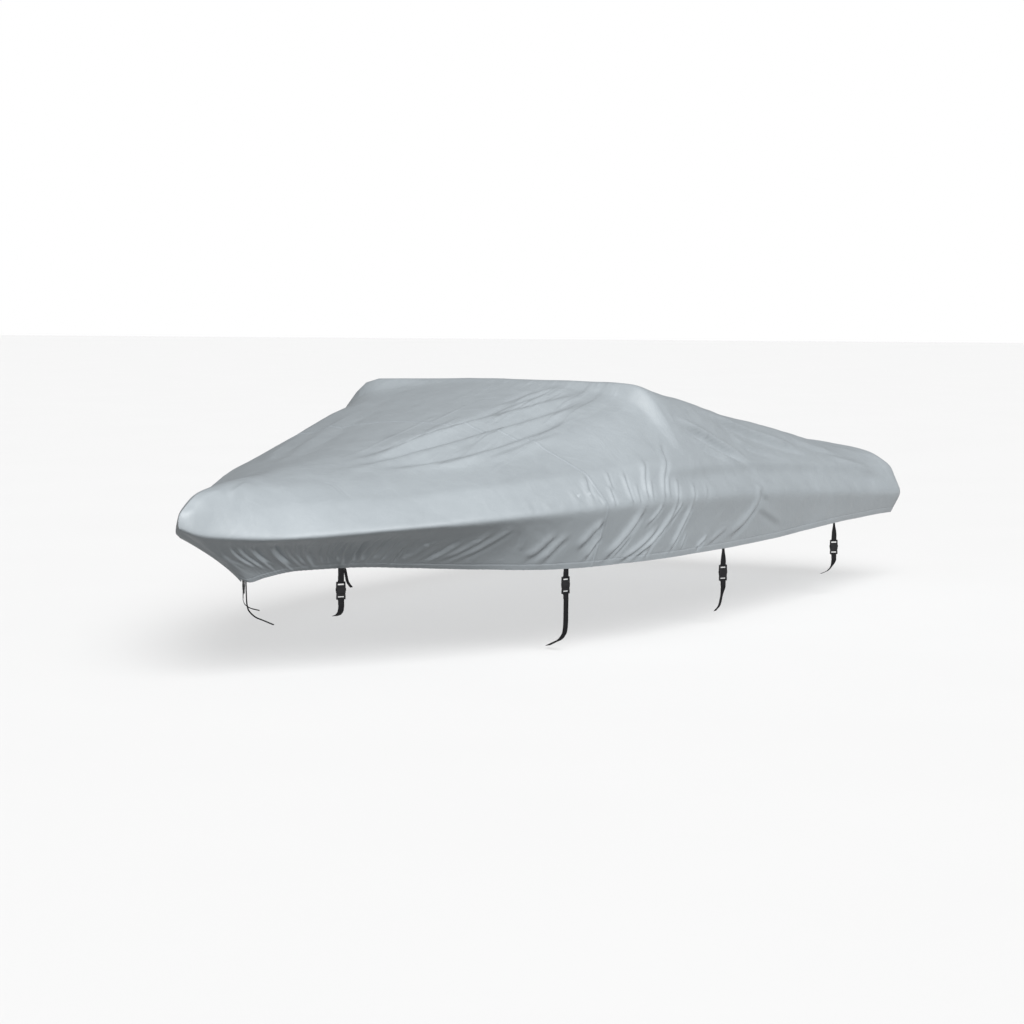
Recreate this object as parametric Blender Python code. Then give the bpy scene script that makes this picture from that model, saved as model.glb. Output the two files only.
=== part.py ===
"""Fitted cover for a trailered runabout: two cloth panels and eight buckled hull straps.

The cloth hangs as it does over the boat, which is not part of the object. The bow points along
-X, port is -Y and +Z is up. The origin lies under the cover's highest crown, where the
windscreen props it up. All lengths are in metres.
"""

import bmesh
import bpy
import numpy as np
from mathutils import Matrix, Vector

# ---- driving dimensions -------------------------------------------------------------------

CLOTH = 0.002            # coated polyester, with its turned hem
GAP = 0.0003             # clearance between pieces that touch
KNUCKLE_SOFTNESS = 0.018  # how far the cloth rounds off where it breaks over the gunwale
BOW_FLARE = 0.035        # how far the skirt tucks in under the bow's flare
FLARE_END = 0.40         # rib position where that tuck has died out
FLARE_BUILT = 0.12       # and where it has its whole sideways share
SEAM_X = -0.75           # cross seam between the fore and the aft panel

WEB_WIDTH = 0.025
WEB_THICK = 0.0016
WEB_CLEAR = 0.0004       # webbing to bar, and webbing to its own doubled-back end
HEM_CLEAR = 0.0007       # webbing to the hem that it is sewn behind
STRAP_FLAT = 0.030       # the skirt is flat this far to either side of a strap
SEWN_IN = 0.032          # length of webbing sewn up behind the hem
FOLD_BACK = 0.026        # length of webbing doubled back from a buckle's bar
BAR_SINK = 0.004         # the socket's bar hangs this far below the strap's drop
TURN_START = 0.004       # a turned strap starts to turn this far below the hem
TURN_SHARE = 0.75        # and has turned at this share of its drop
TURN_BACK = 0.045        # its loose end has turned back over this length
SHARPEST_MITRE = 0.5     # keeps the webbing from growing thick at a sharp bend
SEAT = WEB_THICK / 2 + HEM_CLEAR           # the skirt's inner skin to the webbing's middle
DOUBLED = WEB_THICK + WEB_CLEAR            # between the two layers of doubled webbing

# Side-release buckle for 25 mm webbing
BAR_RADIUS = 0.0022
LOOP_RADIUS = BAR_RADIUS + WEB_CLEAR + WEB_THICK / 2
PLUG_BAR_DROP = 0.062    # from the socket's bar down to the plug's bar
CASE_HALF_WIDTH = 0.019
CASE_HALF_DEPTH = 0.0055
CASE_SPAN = (-0.042, -0.010)
HOLLOW_HALF_WIDTH = 0.0155
HOLLOW_HALF_DEPTH = 0.0032
WINDOW_HALF_DEPTH = 0.0034
WINDOW_SPAN = (-0.034, -0.018)
CHEEK_INNER = 0.014
CHEEK_WIDTH = 0.0045
CHEEK_HALF_DEPTH = 0.004

UP = Vector((0.0, 0.0, 1.0))

# The cover is lofted over ribs. Each rib runs from the hem, out over the gunwale's knuckle and up
# to the spine on the centre line. "along" goes from the bow's stem (0) to the middle of the
# transom (1) on either side, and the y values are half-widths.
EDGE_COLUMNS = ("along", "knuckle_x", "knuckle_y", "knuckle_z", "hem_x", "hem_y", "hem_z")
EDGE = (
    (0.000, -2.430,  0.000, -0.486,  -2.040,  0.000, -0.708),
    (0.030, -2.400,  0.040, -0.504,  -2.005,  0.024, -0.722),
    (0.070, -2.300,  0.108, -0.524,  -1.950,  0.060, -0.706),
    (0.130, -2.100,  0.254, -0.536,  -1.840,  0.135, -0.684),
    (0.190, -1.870,  0.420, -0.526,  -1.670,  0.250, -0.681),
    (0.250, -1.620,  0.590, -0.512,  -1.470,  0.405, -0.694),
    (0.320, -1.330,  0.745, -0.498,  -1.240,  0.570, -0.713),
    (0.380, -1.030,  0.865, -0.486,  -0.990,  0.740, -0.728),
    (0.440, -0.700,  0.955, -0.479,  -0.680,  0.870, -0.734),
    (0.500, -0.350,  1.010, -0.479,  -0.345,  0.950, -0.732),
    (0.545, -0.080,  1.038, -0.483,  -0.080,  0.985, -0.733),
    (0.560,  0.000,  1.043, -0.485,   0.000,  0.992, -0.733),
    (0.575,  0.080,  1.048, -0.487,   0.080,  0.996, -0.733),
    (0.620,  0.350,  1.050, -0.494,   0.350,  1.004, -0.734),
    (0.680,  0.750,  1.050, -0.513,   0.750,  1.014, -0.732),
    (0.740,  1.200,  1.050, -0.541,   1.200,  1.017, -0.723),
    (0.800,  1.700,  1.047, -0.574,   1.700,  1.014, -0.716),
    (0.850,  2.080,  1.042, -0.602,   2.080,  1.008, -0.718),
    (0.890,  2.360,  1.038, -0.620,   2.320,  1.000, -0.723),
    (0.915,  2.450,  1.005, -0.628,   2.385,  0.972, -0.726),
    (0.940,  2.480,  0.900, -0.628,   2.400,  0.870, -0.724),
    (0.970,  2.485,  0.500, -0.626,   2.405,  0.490, -0.723),
    (1.000,  2.487,  0.000, -0.625,   2.407,  0.000, -0.722),
)
TOP_COLUMNS = ("along", "shoulder_x", "shoulder_y", "shoulder_z", "crest_x", "crest_y", "crest_z",
               "spine_x", "spine_z")
TOP = (
    (0.000, -2.430,  0.000, -0.428,  -2.290,  0.000, -0.356,  -1.950, -0.318),
    (0.030, -2.385,  0.032, -0.424,  -2.265,  0.024, -0.356,  -1.945, -0.317),
    (0.070, -2.270,  0.076, -0.420,  -2.185,  0.046, -0.350,  -1.930, -0.315),
    (0.130, -2.055,  0.168, -0.418,  -2.015,  0.092, -0.345,  -1.880, -0.310),
    (0.190, -1.830,  0.305, -0.411,  -1.800,  0.160, -0.339,  -1.760, -0.300),
    (0.250, -1.590,  0.455, -0.405,  -1.580,  0.250, -0.324,  -1.570, -0.282),
    (0.320, -1.320,  0.615, -0.388,  -1.315,  0.360, -0.302,  -1.310, -0.250),
    (0.380, -1.030,  0.745, -0.363,  -1.030,  0.460, -0.262,  -1.030, -0.203),
    (0.440, -0.700,  0.855, -0.342,  -0.700,  0.570, -0.211,  -0.700, -0.141),
    (0.500, -0.350,  0.930, -0.324,  -0.350,  0.640, -0.138,  -0.350, -0.066),
    (0.545, -0.080,  0.955, -0.331,  -0.080,  0.645, -0.066,  -0.080, -0.006),
    (0.560,  0.000,  0.958, -0.336,   0.000,  0.658, -0.004,   0.000,  0.010),
    (0.575,  0.080,  0.960, -0.344,   0.080,  0.698, -0.030,   0.080,  0.002),
    (0.620,  0.350,  0.960, -0.360,   0.350,  0.725, -0.084,   0.350, -0.030),
    (0.680,  0.750,  0.958, -0.378,   0.750,  0.718, -0.154,   0.750, -0.090),
    (0.740,  1.200,  0.955, -0.401,   1.200,  0.703, -0.222,   1.200, -0.160),
    (0.800,  1.700,  0.950, -0.434,   1.700,  0.712, -0.300,   1.700, -0.240),
    (0.850,  2.080,  0.955, -0.454,   2.080,  0.790, -0.376,   2.050, -0.298),
    (0.890,  2.350,  0.975, -0.486,   2.300,  0.880, -0.421,   2.170, -0.314),
    (0.915,  2.445,  0.945, -0.491,   2.380,  0.840, -0.416,   2.200, -0.320),
    (0.940,  2.470,  0.840, -0.476,   2.400,  0.700, -0.391,   2.210, -0.324),
    (0.970,  2.460,  0.460, -0.426,   2.380,  0.360, -0.364,   2.220, -0.328),
    (1.000,  2.460,  0.000, -0.411,   2.380,  0.000, -0.358,   2.220, -0.330),
)

# Folds on the side of the cover, drawn in side elevation as three points (u = x, v = z), with
# the height of the ridge and its half-width. Negative heights are troughs.
FOLD_COLUMNS = ("u0", "v0", "u1", "v1", "u2", "v2", "height", "width")
SIDE_FOLDS = (
    # pulled aft from the windscreen's corner
    (0.10, -0.167, 0.35, -0.262, 0.62, -0.395, 0.016, 0.030),
    (0.02, -0.190, 0.27, -0.300, 0.50, -0.390, -0.010, 0.032),
    (0.45, -0.146, 0.92, -0.250, 1.42, -0.375, 0.016, 0.032),
    (0.40, -0.175, 0.80, -0.285, 1.15, -0.375, -0.008, 0.034),
    (1.65, -0.398, 1.90, -0.462, 2.18, -0.530, 0.014, 0.032),
    # standing creases above the knuckle
    (-0.13, -0.220, -0.26, -0.335, -0.39, -0.470, 0.012, 0.024),
    (-0.38, -0.290, -0.47, -0.389, -0.49, -0.462, 0.009, 0.022),
    (-0.56, -0.345, -0.60, -0.430, -0.60, -0.478, 0.007, 0.022),
    (-0.77, -0.345, -0.82, -0.427, -0.83, -0.480, 0.008, 0.022),
    # slanting down the skirt
    (-0.02, -0.500, -0.10, -0.610, -0.17, -0.705, 0.008, 0.026),
    (-0.15, -0.490, -0.22, -0.600, -0.34, -0.715, 0.011, 0.024),
    (-0.28, -0.490, -0.38, -0.600, -0.54, -0.712, 0.011, 0.024),
    (-0.40, -0.490, -0.48, -0.590, -0.62, -0.710, 0.013, 0.024),
    (-0.53, -0.490, -0.60, -0.590, -0.73, -0.708, 0.010, 0.024),
    (-0.72, -0.520, -0.78, -0.610, -0.86, -0.700, 0.009, 0.024),
    (-0.96, -0.575, -1.00, -0.650, -1.04, -0.700, 0.008, 0.026),
    # spread over the stern quarter
    (0.53, -0.455, 0.43, -0.570, 0.24, -0.690, 0.011, 0.030),
    (0.52, -0.555, 0.66, -0.610, 0.82, -0.664, 0.009, 0.030),
    # gathered under the bow
    (-2.22, -0.552, -2.05, -0.640, -1.94, -0.690, 0.007, 0.022),
    (-2.12, -0.556, -1.95, -0.635, -1.84, -0.682, 0.007, 0.022),
    (-2.00, -0.550, -1.88, -0.610, -1.78, -0.666, 0.007, 0.022),
    (-1.82, -0.556, -1.74, -0.620, -1.68, -0.672, 0.006, 0.022),
    (-1.66, -0.566, -1.61, -0.630, -1.57, -0.678, 0.006, 0.022),
)

# Folds across the fore deck, drawn in plan as three points (u = x, v = y).
TOP_FOLDS = (
    (-1.45, -0.14, -0.70, -0.28, -0.06, -0.37, 0.012, 0.030),
    (-1.60, -0.16, -0.90, -0.31, -0.05, -0.52, 0.012, 0.026),
    (-1.45, -0.28, -0.86, -0.47, -0.12, -0.58, 0.013, 0.028),
    (-1.40, -0.38, -0.90, -0.55, -0.36, -0.61, 0.009, 0.028),
    (-2.24, -0.09, -2.13, -0.07, -2.02, -0.05, 0.004, 0.026),
)

# Hull straps: place along the hem, length of webbing down to the buckle, how far the strap
# hangs turned towards the bow (degrees), and the loose end below the plug as (towards the
# keel, down) steps along the hull's side.
STRAPS = {
    "bow": {"x": -1.69, "drop": 0.056, "turn": 0.0,
            "tail": ((0.006, 0.018), (0.030, 0.036), (0.066, 0.046))},
    "fore": {"x": -0.87, "drop": 0.034, "turn": 0.0,
             "tail": ((0.002, 0.090), (0.008, 0.130), (0.040, 0.166), (0.078, 0.182),
                      (0.122, 0.200))},
    "mid": {"x": 0.24, "drop": 0.074, "turn": 34.0,
            "tail": ((0.010, 0.055), (0.018, 0.085), (0.040, 0.112))},
    "aft": {"x": 1.52, "drop": 0.084, "turn": 48.0,
            "tail": ((0.010, 0.030), (0.030, 0.055), (0.064, 0.072))},
}

# How the folds behave
FOLD_FADE = 0.22         # share of a fold's length over which it dies out at each end
FOLD_END = 0.15          # share of its height that is left at the very end
STARBOARD_SHIFT = 0.07   # the starboard folds lie this much further aft
STARBOARD_SHARE = 0.8    # and are this much flatter
NEAR_CENTRE = 0.01       # side folds stop this far from the centre line
CENTRE_FADE = 0.07       # and have died out over this distance
KNUCKLE_LEVEL = -0.46    # deck folds stay above this height
HEM_LEVEL = -0.72        # the hem's usual height
STRAP_CALM = 0.055       # a pulled strap flattens the folds this far around it

# How many ribs stand between two places along the edge, and the least distance between ribs
RIB_STRETCHES = ((0.0, 0.10, 4), (0.10, 0.30, 13), (0.30, 0.42, 6), (0.42, 0.56, 15),
                 (0.56, 0.66, 7), (0.66, 0.89, 15), (0.89, 0.94, 5), (0.94, 1.0, 4))
RIB_SPACING = 0.011

# Steps along a rib while it is drawn
FINE_STEPS = 480
SKIRT_STEPS = 80

# Shares of the skirt's depth and of the way from the knuckle to the spine
SKIRT_ROWS = (0.0, 0.22, 0.48, 0.74, 0.93)
UPPER_ROWS = (0.0, 0.045, 0.11, 0.19, 0.27, 0.36, 0.46, 0.57, 0.68, 0.79, 0.90, 1.0)


# ---- curves -------------------------------------------------------------------------------

def smooth_through(knots, values, at):
    """Cubic through the values at the knots that never overshoots between two of them."""
    steps = np.diff(knots)
    slopes = np.diff(values) / steps
    tangents = np.zeros_like(values)
    tangents[0], tangents[-1] = slopes[0], slopes[-1]
    left, right = slopes[:-1], slopes[1:]
    same_way = left * right > 0
    weight_left = 2 * steps[1:] + steps[:-1]
    weight_right = steps[1:] + 2 * steps[:-1]
    blended = (weight_left + weight_right)[same_way] / (
        weight_left[same_way] / left[same_way] + weight_right[same_way] / right[same_way])
    tangents[1:-1][same_way] = blended
    span = np.clip(np.searchsorted(knots, at) - 1, 0, len(steps) - 1)
    t = (at - knots[span]) / steps[span]
    rise = values[span + 1] - values[span]
    start, end = tangents[span] * steps[span], tangents[span + 1] * steps[span]
    return values[span] + t * (start + t * (3 * rise - 2 * start - end
                                            + t * (start + end - 2 * rise)))


def rib_value(name, along):
    """One column of the rib tables, read at any place along the cover's edge."""
    columns, rows = (EDGE_COLUMNS, EDGE) if name in EDGE_COLUMNS else (TOP_COLUMNS, TOP)
    table = np.array(rows)
    return float(smooth_through(table[:, 0], table[:, columns.index(name)], along))


def rib_point(name, along, side):
    """A named point of the rib: hem, knuckle, shoulder or crest."""
    x, y, z = (rib_value(f"{name}_{axis}", along) for axis in "xyz")
    return np.array([x, side * y, z])


def travelled_along(points):
    """Distance travelled along the polyline at each of its points."""
    lengths = np.linalg.norm(np.diff(points, axis=0), axis=1)
    return np.concatenate([[0.0], np.cumsum(lengths)])


def points_at(points, travelled, at):
    """Points on the polyline at the given distances along it."""
    return np.stack([np.interp(at, travelled, points[:, k]) for k in range(3)], axis=1)


def rib_section(along, side):
    """Points up one rib from hem to spine, at the shares of skirt and top in the row lists.

    The skirt is a shallow bow, the cloth is taut from knuckle to shoulder, and a curve joins
    the controls above that. The whole line is then softened, because cloth doesn't break over
    an edge at a point.
    """
    hem, knuckle = rib_point("hem", along, side), rib_point("knuckle", along, side)
    shoulder, crest = rib_point("shoulder", along, side), rib_point("crest", along, side)
    spine = np.array([rib_value("spine_x", along), 0.0, rib_value("spine_z", along)])
    on_centre_line = abs(hem[1]) < 1e-6
    if on_centre_line:
        beyond = 2 * spine - crest
    else:
        beyond = crest * np.array([1.0, -1.0, 1.0])
    controls = np.array([shoulder, crest, spine, beyond])
    travelled = travelled_along(controls)
    at = np.linspace(0.0, travelled[2], FINE_STEPS)
    top = np.stack([smooth_through(travelled, controls[:, k], at) for k in range(3)], axis=1)

    share = np.linspace(0.0, 1.0, SKIRT_STEPS)[:-1, None]
    flare = BOW_FLARE * max(0.0, 1.0 - along / FLARE_END) * 4.0 * share * (1.0 - share)
    inward = np.array([0.6, -0.8 * side * min(1.0, along / FLARE_BUILT), 0.0])
    skirt = hem + (knuckle - hem) * share + flare * inward
    line = np.concatenate([skirt, knuckle + (shoulder - knuckle) * share, top])

    travelled = travelled_along(line)
    evenly = np.linspace(0.0, travelled[-1], FINE_STEPS)
    evened = points_at(line, travelled, evenly)
    step = evenly[1]
    reach = int(3 * KNUCKLE_SOFTNESS / step)
    mirror = evened[-2:-reach - 2:-1]
    past_spine = 2 * evened[-1] - mirror if on_centre_line else mirror * np.array([1, -1, 1])
    before_hem = 2 * evened[0] - evened[reach:0:-1]
    padded = np.concatenate([before_hem, evened, past_spine])
    window = np.exp(-0.5 * (np.arange(-reach, reach + 1) * step / KNUCKLE_SOFTNESS) ** 2)
    window /= window.sum()
    rounded = np.stack([np.convolve(padded[:, k], window, "valid") for k in range(3)], axis=1)
    rounded[0] = evened[0]
    rounded[-1, 1] = 0.0

    knuckle_at = travelled[len(skirt)]
    places = [knuckle_at * share for share in SKIRT_ROWS]
    places += [knuckle_at + (travelled[-1] - knuckle_at) * share for share in UPPER_ROWS]
    return points_at(rounded, evenly, places)


def along_at_hem(x):
    """Place along the edge where the hem crosses this x on the cover's side."""
    table = np.array(EDGE)
    hem_x = table[:, EDGE_COLUMNS.index("hem_x")]
    places = np.linspace(0.0, 0.9, 901)
    return float(np.interp(x, smooth_through(table[:, 0], hem_x, places), places))


# ---- folds --------------------------------------------------------------------------------

def fold_height(flat, rows):
    """Height of all the folds at points given in a flat view, one ridge for each table row."""
    total = np.zeros(len(flat))
    for row in rows:
        fold = dict(zip(FOLD_COLUMNS, row))
        path = np.array([(fold[f"u{k}"], fold[f"v{k}"]) for k in range(3)])
        nearest = np.full(len(flat), 1e9)
        share = np.zeros(len(flat))
        for k in range(2):
            leg = path[k + 1] - path[k]
            t = np.clip((flat - path[k]) @ leg / (leg @ leg), 0.0, 1.0)
            distance = np.linalg.norm(flat - path[k] - t[:, None] * leg, axis=1)
            closer = distance < nearest
            nearest[closer] = distance[closer]
            share[closer] = (k + t[closer]) / 2
        taper = np.clip(np.minimum(share, 1.0 - share) / FOLD_FADE, 0.0, 1.0)
        profile = np.exp(-(nearest / fold["width"]) ** 2)
        total += fold["height"] * profile * (FOLD_END + (1.0 - FOLD_END) * taper)
    return total


def folded(points, normals):
    """The points moved out along their normals by the folds of the side and of the fore deck."""
    elevation = points[:, [0, 2]]
    plan = points[:, [0, 1]]
    port, starboard = points[:, 1] < -NEAR_CENTRE, points[:, 1] > NEAR_CENTRE
    height = np.zeros(len(points))
    height[port] += fold_height(elevation[port], SIDE_FOLDS)
    # the starboard folds lie a little further aft and are flatter
    shifted = elevation[starboard] - [STARBOARD_SHIFT, 0.0]
    height[starboard] += STARBOARD_SHARE * fold_height(shifted, SIDE_FOLDS)
    height *= np.clip((np.abs(points[:, 1]) - NEAR_CENTRE) / CENTRE_FADE, 0.0, 1.0)
    on_top = points[:, 2] > KNUCKLE_LEVEL
    height[on_top] += fold_height(plan[on_top], TOP_FOLDS)
    mirrored = (plan * [1.0, -1.0] - [STARBOARD_SHIFT, 0.0])[on_top]
    height[on_top] += STARBOARD_SHARE * fold_height(mirrored, TOP_FOLDS[3:])
    for strap in STRAPS.values():
        beside = (points[:, 0] - strap["x"]) / STRAP_CALM
        above = np.maximum(points[:, 2] - HEM_LEVEL, 0.0) / STRAP_CALM
        height *= 1.0 - np.exp(-beside ** 2 - above ** 2)
    return points + normals * height[:, None]


# ---- cloth --------------------------------------------------------------------------------

def rib_places():
    """Where the ribs stand along the edge: close where the cloth is folded, with one at the
    cross seam and a pair at each strap, so that the cloth is flat there."""
    places = [0.0]
    for start, end, count in RIB_STRETCHES:
        places += list(np.linspace(start, end, count + 1)[1:])
    for strap in STRAPS.values():
        pair = [along_at_hem(strap["x"] - STRAP_FLAT), along_at_hem(strap["x"] + STRAP_FLAT)]
        clear = RIB_SPACING + (pair[1] - pair[0]) / 2
        places = [p for p in places if abs(p - np.mean(pair)) > clear] + pair
    seam = along_at_hem(SEAM_X)
    places = sorted([p for p in places if abs(p - seam) > RIB_SPACING / 2] + [seam])
    return places, places.index(seam)


def cover_surface():
    """Vertices, faces with their rib number, the vertex at each (side, rib, row), the ribs'
    places and the seam's rib. The ribs of both sides share the spine, and both sides share
    the stem's rib and the transom's middle rib."""
    places, seam = rib_places()
    rows = len(SKIRT_ROWS) + len(UPPER_ROWS)
    last = len(places) - 1
    points, index = [], {}
    for side in (-1, 1):
        for rib, along in enumerate(places):
            section = rib_section(along, side)
            for row in range(rows):
                shared = rib in (0, last) or row == rows - 1
                key = (0 if shared else side, rib, row)
                if key not in index:
                    index[key] = len(points)
                    points.append(section[row])
                index[(side, rib, row)] = index[key]
    faces = []
    for side in (-1, 1):
        for rib in range(last):
            for row in range(rows - 1):
                corners = [(rib, row), (rib + 1, row), (rib + 1, row + 1), (rib, row + 1)]
                if side > 0:
                    corners.reverse()
                faces.append((rib, [index[(side, *corner)] for corner in corners]))
    return np.array(points), faces, index, places, seam


def surface_normals(points, faces):
    """Outward unit normals at the vertices."""
    normals = np.zeros_like(points)
    for _rib, (a, b, c, d) in faces:
        normal = np.cross(points[c] - points[a], points[d] - points[b])
        for corner in (a, b, c, d):
            normals[corner] += normal
    return normals / np.linalg.norm(normals, axis=1)[:, None]


def halves(outer, face):
    """The two triangles of a face, split along its shorter diagonal on the outer skin."""
    a, b, c, d = face
    if np.linalg.norm(outer[c] - outer[a]) <= np.linalg.norm(outer[d] - outer[b]):
        return [a, b, c], [a, c, d]
    return [a, b, d], [b, c, d]


def cloth_solid(outer, inner, faces):
    """Closed solid between the outer and the inner skin, with walls along every free edge. Both
    skins are split along the same diagonals, so that they stay the cloth's thickness apart."""
    used = sorted({corner for face in faces for corner in face})
    number = {old: new for new, old in enumerate(used)}
    count = len(used)
    vertices = [tuple(outer[k]) for k in used] + [tuple(inner[k]) for k in used]
    skin = [[number[k] for k in half] for face in faces for half in halves(outer, face)]
    back = [[k + count for k in reversed(half)] for half in skin]
    edges = {(half[k], half[(k + 1) % 3]) for half in skin for k in range(3)}
    walls = [[b, a, a + count, b + count] for a, b in sorted(edges) if (b, a) not in edges]
    return vertices, skin + back + walls


def flatten(skin, patches):
    """Make each patch a parallelogram, so that a strap lies flat on it."""
    for low_fore, low_aft, high_fore, high_aft in patches:
        skin[high_aft] = skin[low_aft] + skin[high_fore] - skin[low_fore]


def build_cloth(material):
    """The fore and the aft panel, which meet at the cross seam. Returns the inner corners of
    the flat piece of skirt at each strap: two low ones, then two high ones."""
    points, faces, index, places, seam = cover_surface()
    patches = {}
    for name, strap in STRAPS.items():
        pair = [places.index(along_at_hem(strap["x"] + reach))
                for reach in (-STRAP_FLAT, STRAP_FLAT)]
        for side in (-1, 1):
            patches[(name, side)] = [index[(side, rib, row)] for row in (0, 1) for rib in pair]
    outer = folded(points, surface_normals(points, faces))
    flatten(outer, patches.values())
    inner = outer - CLOTH * surface_normals(outer, faces)
    flatten(inner, patches.values())
    seam_line = {vertex for (_side, rib, _row), vertex in index.items() if rib == seam}
    for name, pull in (("fore_panel", -0.5), ("aft_panel", 0.5)):
        skin_out, skin_in = outer.copy(), inner.copy()
        for k in seam_line:
            skin_out[k, 0] += pull * GAP
            skin_in[k, 0] += pull * GAP
        mine = [face for rib, face in faces if (rib < seam) == (pull < 0)]
        vertices, solid = cloth_solid(skin_out, skin_in, mine)
        mesh = bpy.data.meshes.new(name)
        mesh.from_pydata(vertices, [], solid)
        mesh.shade_smooth()
        add_object(name, mesh, material)
    return {where: inner[corners] for where, corners in patches.items()}


# ---- buckles ------------------------------------------------------------------------------
# Both halves are drawn with the socket's bar at the origin, x across and -z down the strap.

def box(name, x, y, z):
    """Box mesh object between the given pairs of limits."""
    bm = bmesh.new()
    bmesh.ops.create_cube(bm, size=1.0)
    size = Vector((x[1] - x[0], y[1] - y[0], z[1] - z[0]))
    centre = Vector((sum(x) / 2, sum(y) / 2, sum(z) / 2))
    bmesh.ops.transform(bm, matrix=Matrix.Translation(centre) @ Matrix.Diagonal((*size, 1.0)),
                        verts=bm.verts)
    return mesh_object(name, bm)


def rounded_box(name, x, y, z, radius):
    """Box with all its edges bevelled."""
    piece = box(name, x, y, z)
    bm = bmesh.new()
    bm.from_mesh(piece.data)
    bmesh.ops.bevel(bm, geom=bm.edges[:], offset=radius, segments=1, affect="EDGES")
    bm.to_mesh(piece.data)
    bm.free()
    return piece


def bar(name, z):
    """Round bar across the buckle that the webbing loops around."""
    bm = bmesh.new()
    bmesh.ops.create_cone(bm, cap_ends=True, segments=10, radius1=BAR_RADIUS,
                          radius2=BAR_RADIUS, depth=2 * CHEEK_INNER + CHEEK_WIDTH)
    turn = Matrix.Translation((0.0, 0.0, z)) @ Matrix.Rotation(np.pi / 2, 4, "Y")
    bmesh.ops.transform(bm, matrix=turn, verts=bm.verts)
    return mesh_object(name, bm)


def mesh_object(name, bm):
    """Object in the scene that holds the finished bmesh."""
    mesh = bpy.data.meshes.new(name)
    bm.to_mesh(mesh)
    bm.free()
    piece = bpy.data.objects.new(name, mesh)
    bpy.context.scene.collection.objects.link(piece)
    return piece


def cheeks(z):
    """The two lugs that hold a bar's ends."""
    deep = (-CHEEK_HALF_DEPTH, CHEEK_HALF_DEPTH)
    wide = sorted((CHEEK_INNER, CHEEK_INNER + CHEEK_WIDTH))
    return [box("cheek_a", wide, deep, z), box("cheek_b", (-wide[1], -wide[0]), deep, z)]


def carved(name, base, joined, cut=()):
    """One mesh from the base with the joined pieces added and the cut ones taken away."""
    for operation, others in (("UNION", joined), ("DIFFERENCE", cut)):
        for other in others:
            step = base.modifiers.new(other.name, "BOOLEAN")
            step.operation = operation
            step.object = other
            step.solver = "EXACT"
    evaluated = base.evaluated_get(bpy.context.evaluated_depsgraph_get())
    mesh = bpy.data.meshes.new_from_object(evaluated)
    mesh.name = name
    mesh.materials.clear()
    for piece in (base, *joined, *cut):
        bpy.data.objects.remove(piece)
    return mesh


def socket_mesh():
    """Upper half: a hollow case with side windows, and a bar for the webbing above it."""
    case = rounded_box("case", (-CASE_HALF_WIDTH, CASE_HALF_WIDTH),
                       (-CASE_HALF_DEPTH, CASE_HALF_DEPTH), CASE_SPAN, 0.0015)
    joined = cheeks((CASE_SPAN[1] - 0.002, 0.004)) + [bar("bar", 0.0)]
    cut = [box("hollow", (-HOLLOW_HALF_WIDTH, HOLLOW_HALF_WIDTH),
               (-HOLLOW_HALF_DEPTH, HOLLOW_HALF_DEPTH), (CASE_SPAN[0] - 0.008, -0.014)),
           box("windows", (-0.030, 0.030), (-WINDOW_HALF_DEPTH, WINDOW_HALF_DEPTH), WINDOW_SPAN)]
    return carved("socket", case, joined, cut)


def plug_mesh():
    """Lower half: two sprung arms with hooks that show in the windows, a guide and a bar."""
    base = rounded_box("base", (-0.018, 0.018), (-0.005, 0.005),
                       (-0.053, CASE_SPAN[0] - GAP), 0.0012)
    arm_foot = CASE_SPAN[0] - 0.002
    joined = [box("guide", (-0.004, 0.004), (-0.0027, 0.0027), (arm_foot, -0.020))]
    for sign in (-1, 1):
        arm = sorted((sign * 0.0105, sign * 0.0138))
        hook = sorted((sign * 0.0120, sign * 0.0212))
        joined.append(box(f"arm{sign}", arm, (-0.0026, 0.0026), (arm_foot, -0.022)))
        joined.append(box(f"hook{sign}", hook, (-0.0025, 0.0025), (-0.033, -0.0215)))
    joined += cheeks((-PLUG_BAR_DROP - 0.004, -0.051))
    joined.append(bar("plug_bar", -PLUG_BAR_DROP))
    return carved("plug", base, joined)


# ---- straps -------------------------------------------------------------------------------
# A strap is drawn in its own upright plane as (outward, up) from where it leaves the hem.

def strap_frame(x, side, patch):
    """Where a strap leaves the hem: a point on the skirt's inner skin, the outward direction
    and the skirt's own slope, as (outward, up)."""
    low_fore, low_aft, high_fore, high_aft = patch
    normal = side * np.cross(high_fore - low_aft, high_aft - low_fore)
    normal /= np.linalg.norm(normal)
    level = np.hypot(normal[0], normal[1])
    place = low_fore + (low_aft - low_fore) * (x - low_fore[0]) / (low_aft[0] - low_fore[0])
    outward = Vector((normal[0] / level, normal[1] / level, 0.0))
    return Vector(place), outward, np.array([-normal[2], level])


def eased(share):
    """The share, clipped to 0..1 and eased in and out."""
    share = min(1.0, max(0.0, share))
    return share * share * (3.0 - 2.0 * share)


def turn_at(up, strap, side):
    """Angle that the hanging webbing has turned at this height, and back again on its tail."""
    tail_start = -strap["drop"] - BAR_SINK - PLUG_BAR_DROP - FOLD_BACK
    turned = eased((-up - TURN_START) / (TURN_SHARE * strap["drop"] - TURN_START))
    back = eased((tail_start - up) / TURN_BACK)
    return np.radians(strap["turn"]) * side * turned * (1.0 - back)


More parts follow.
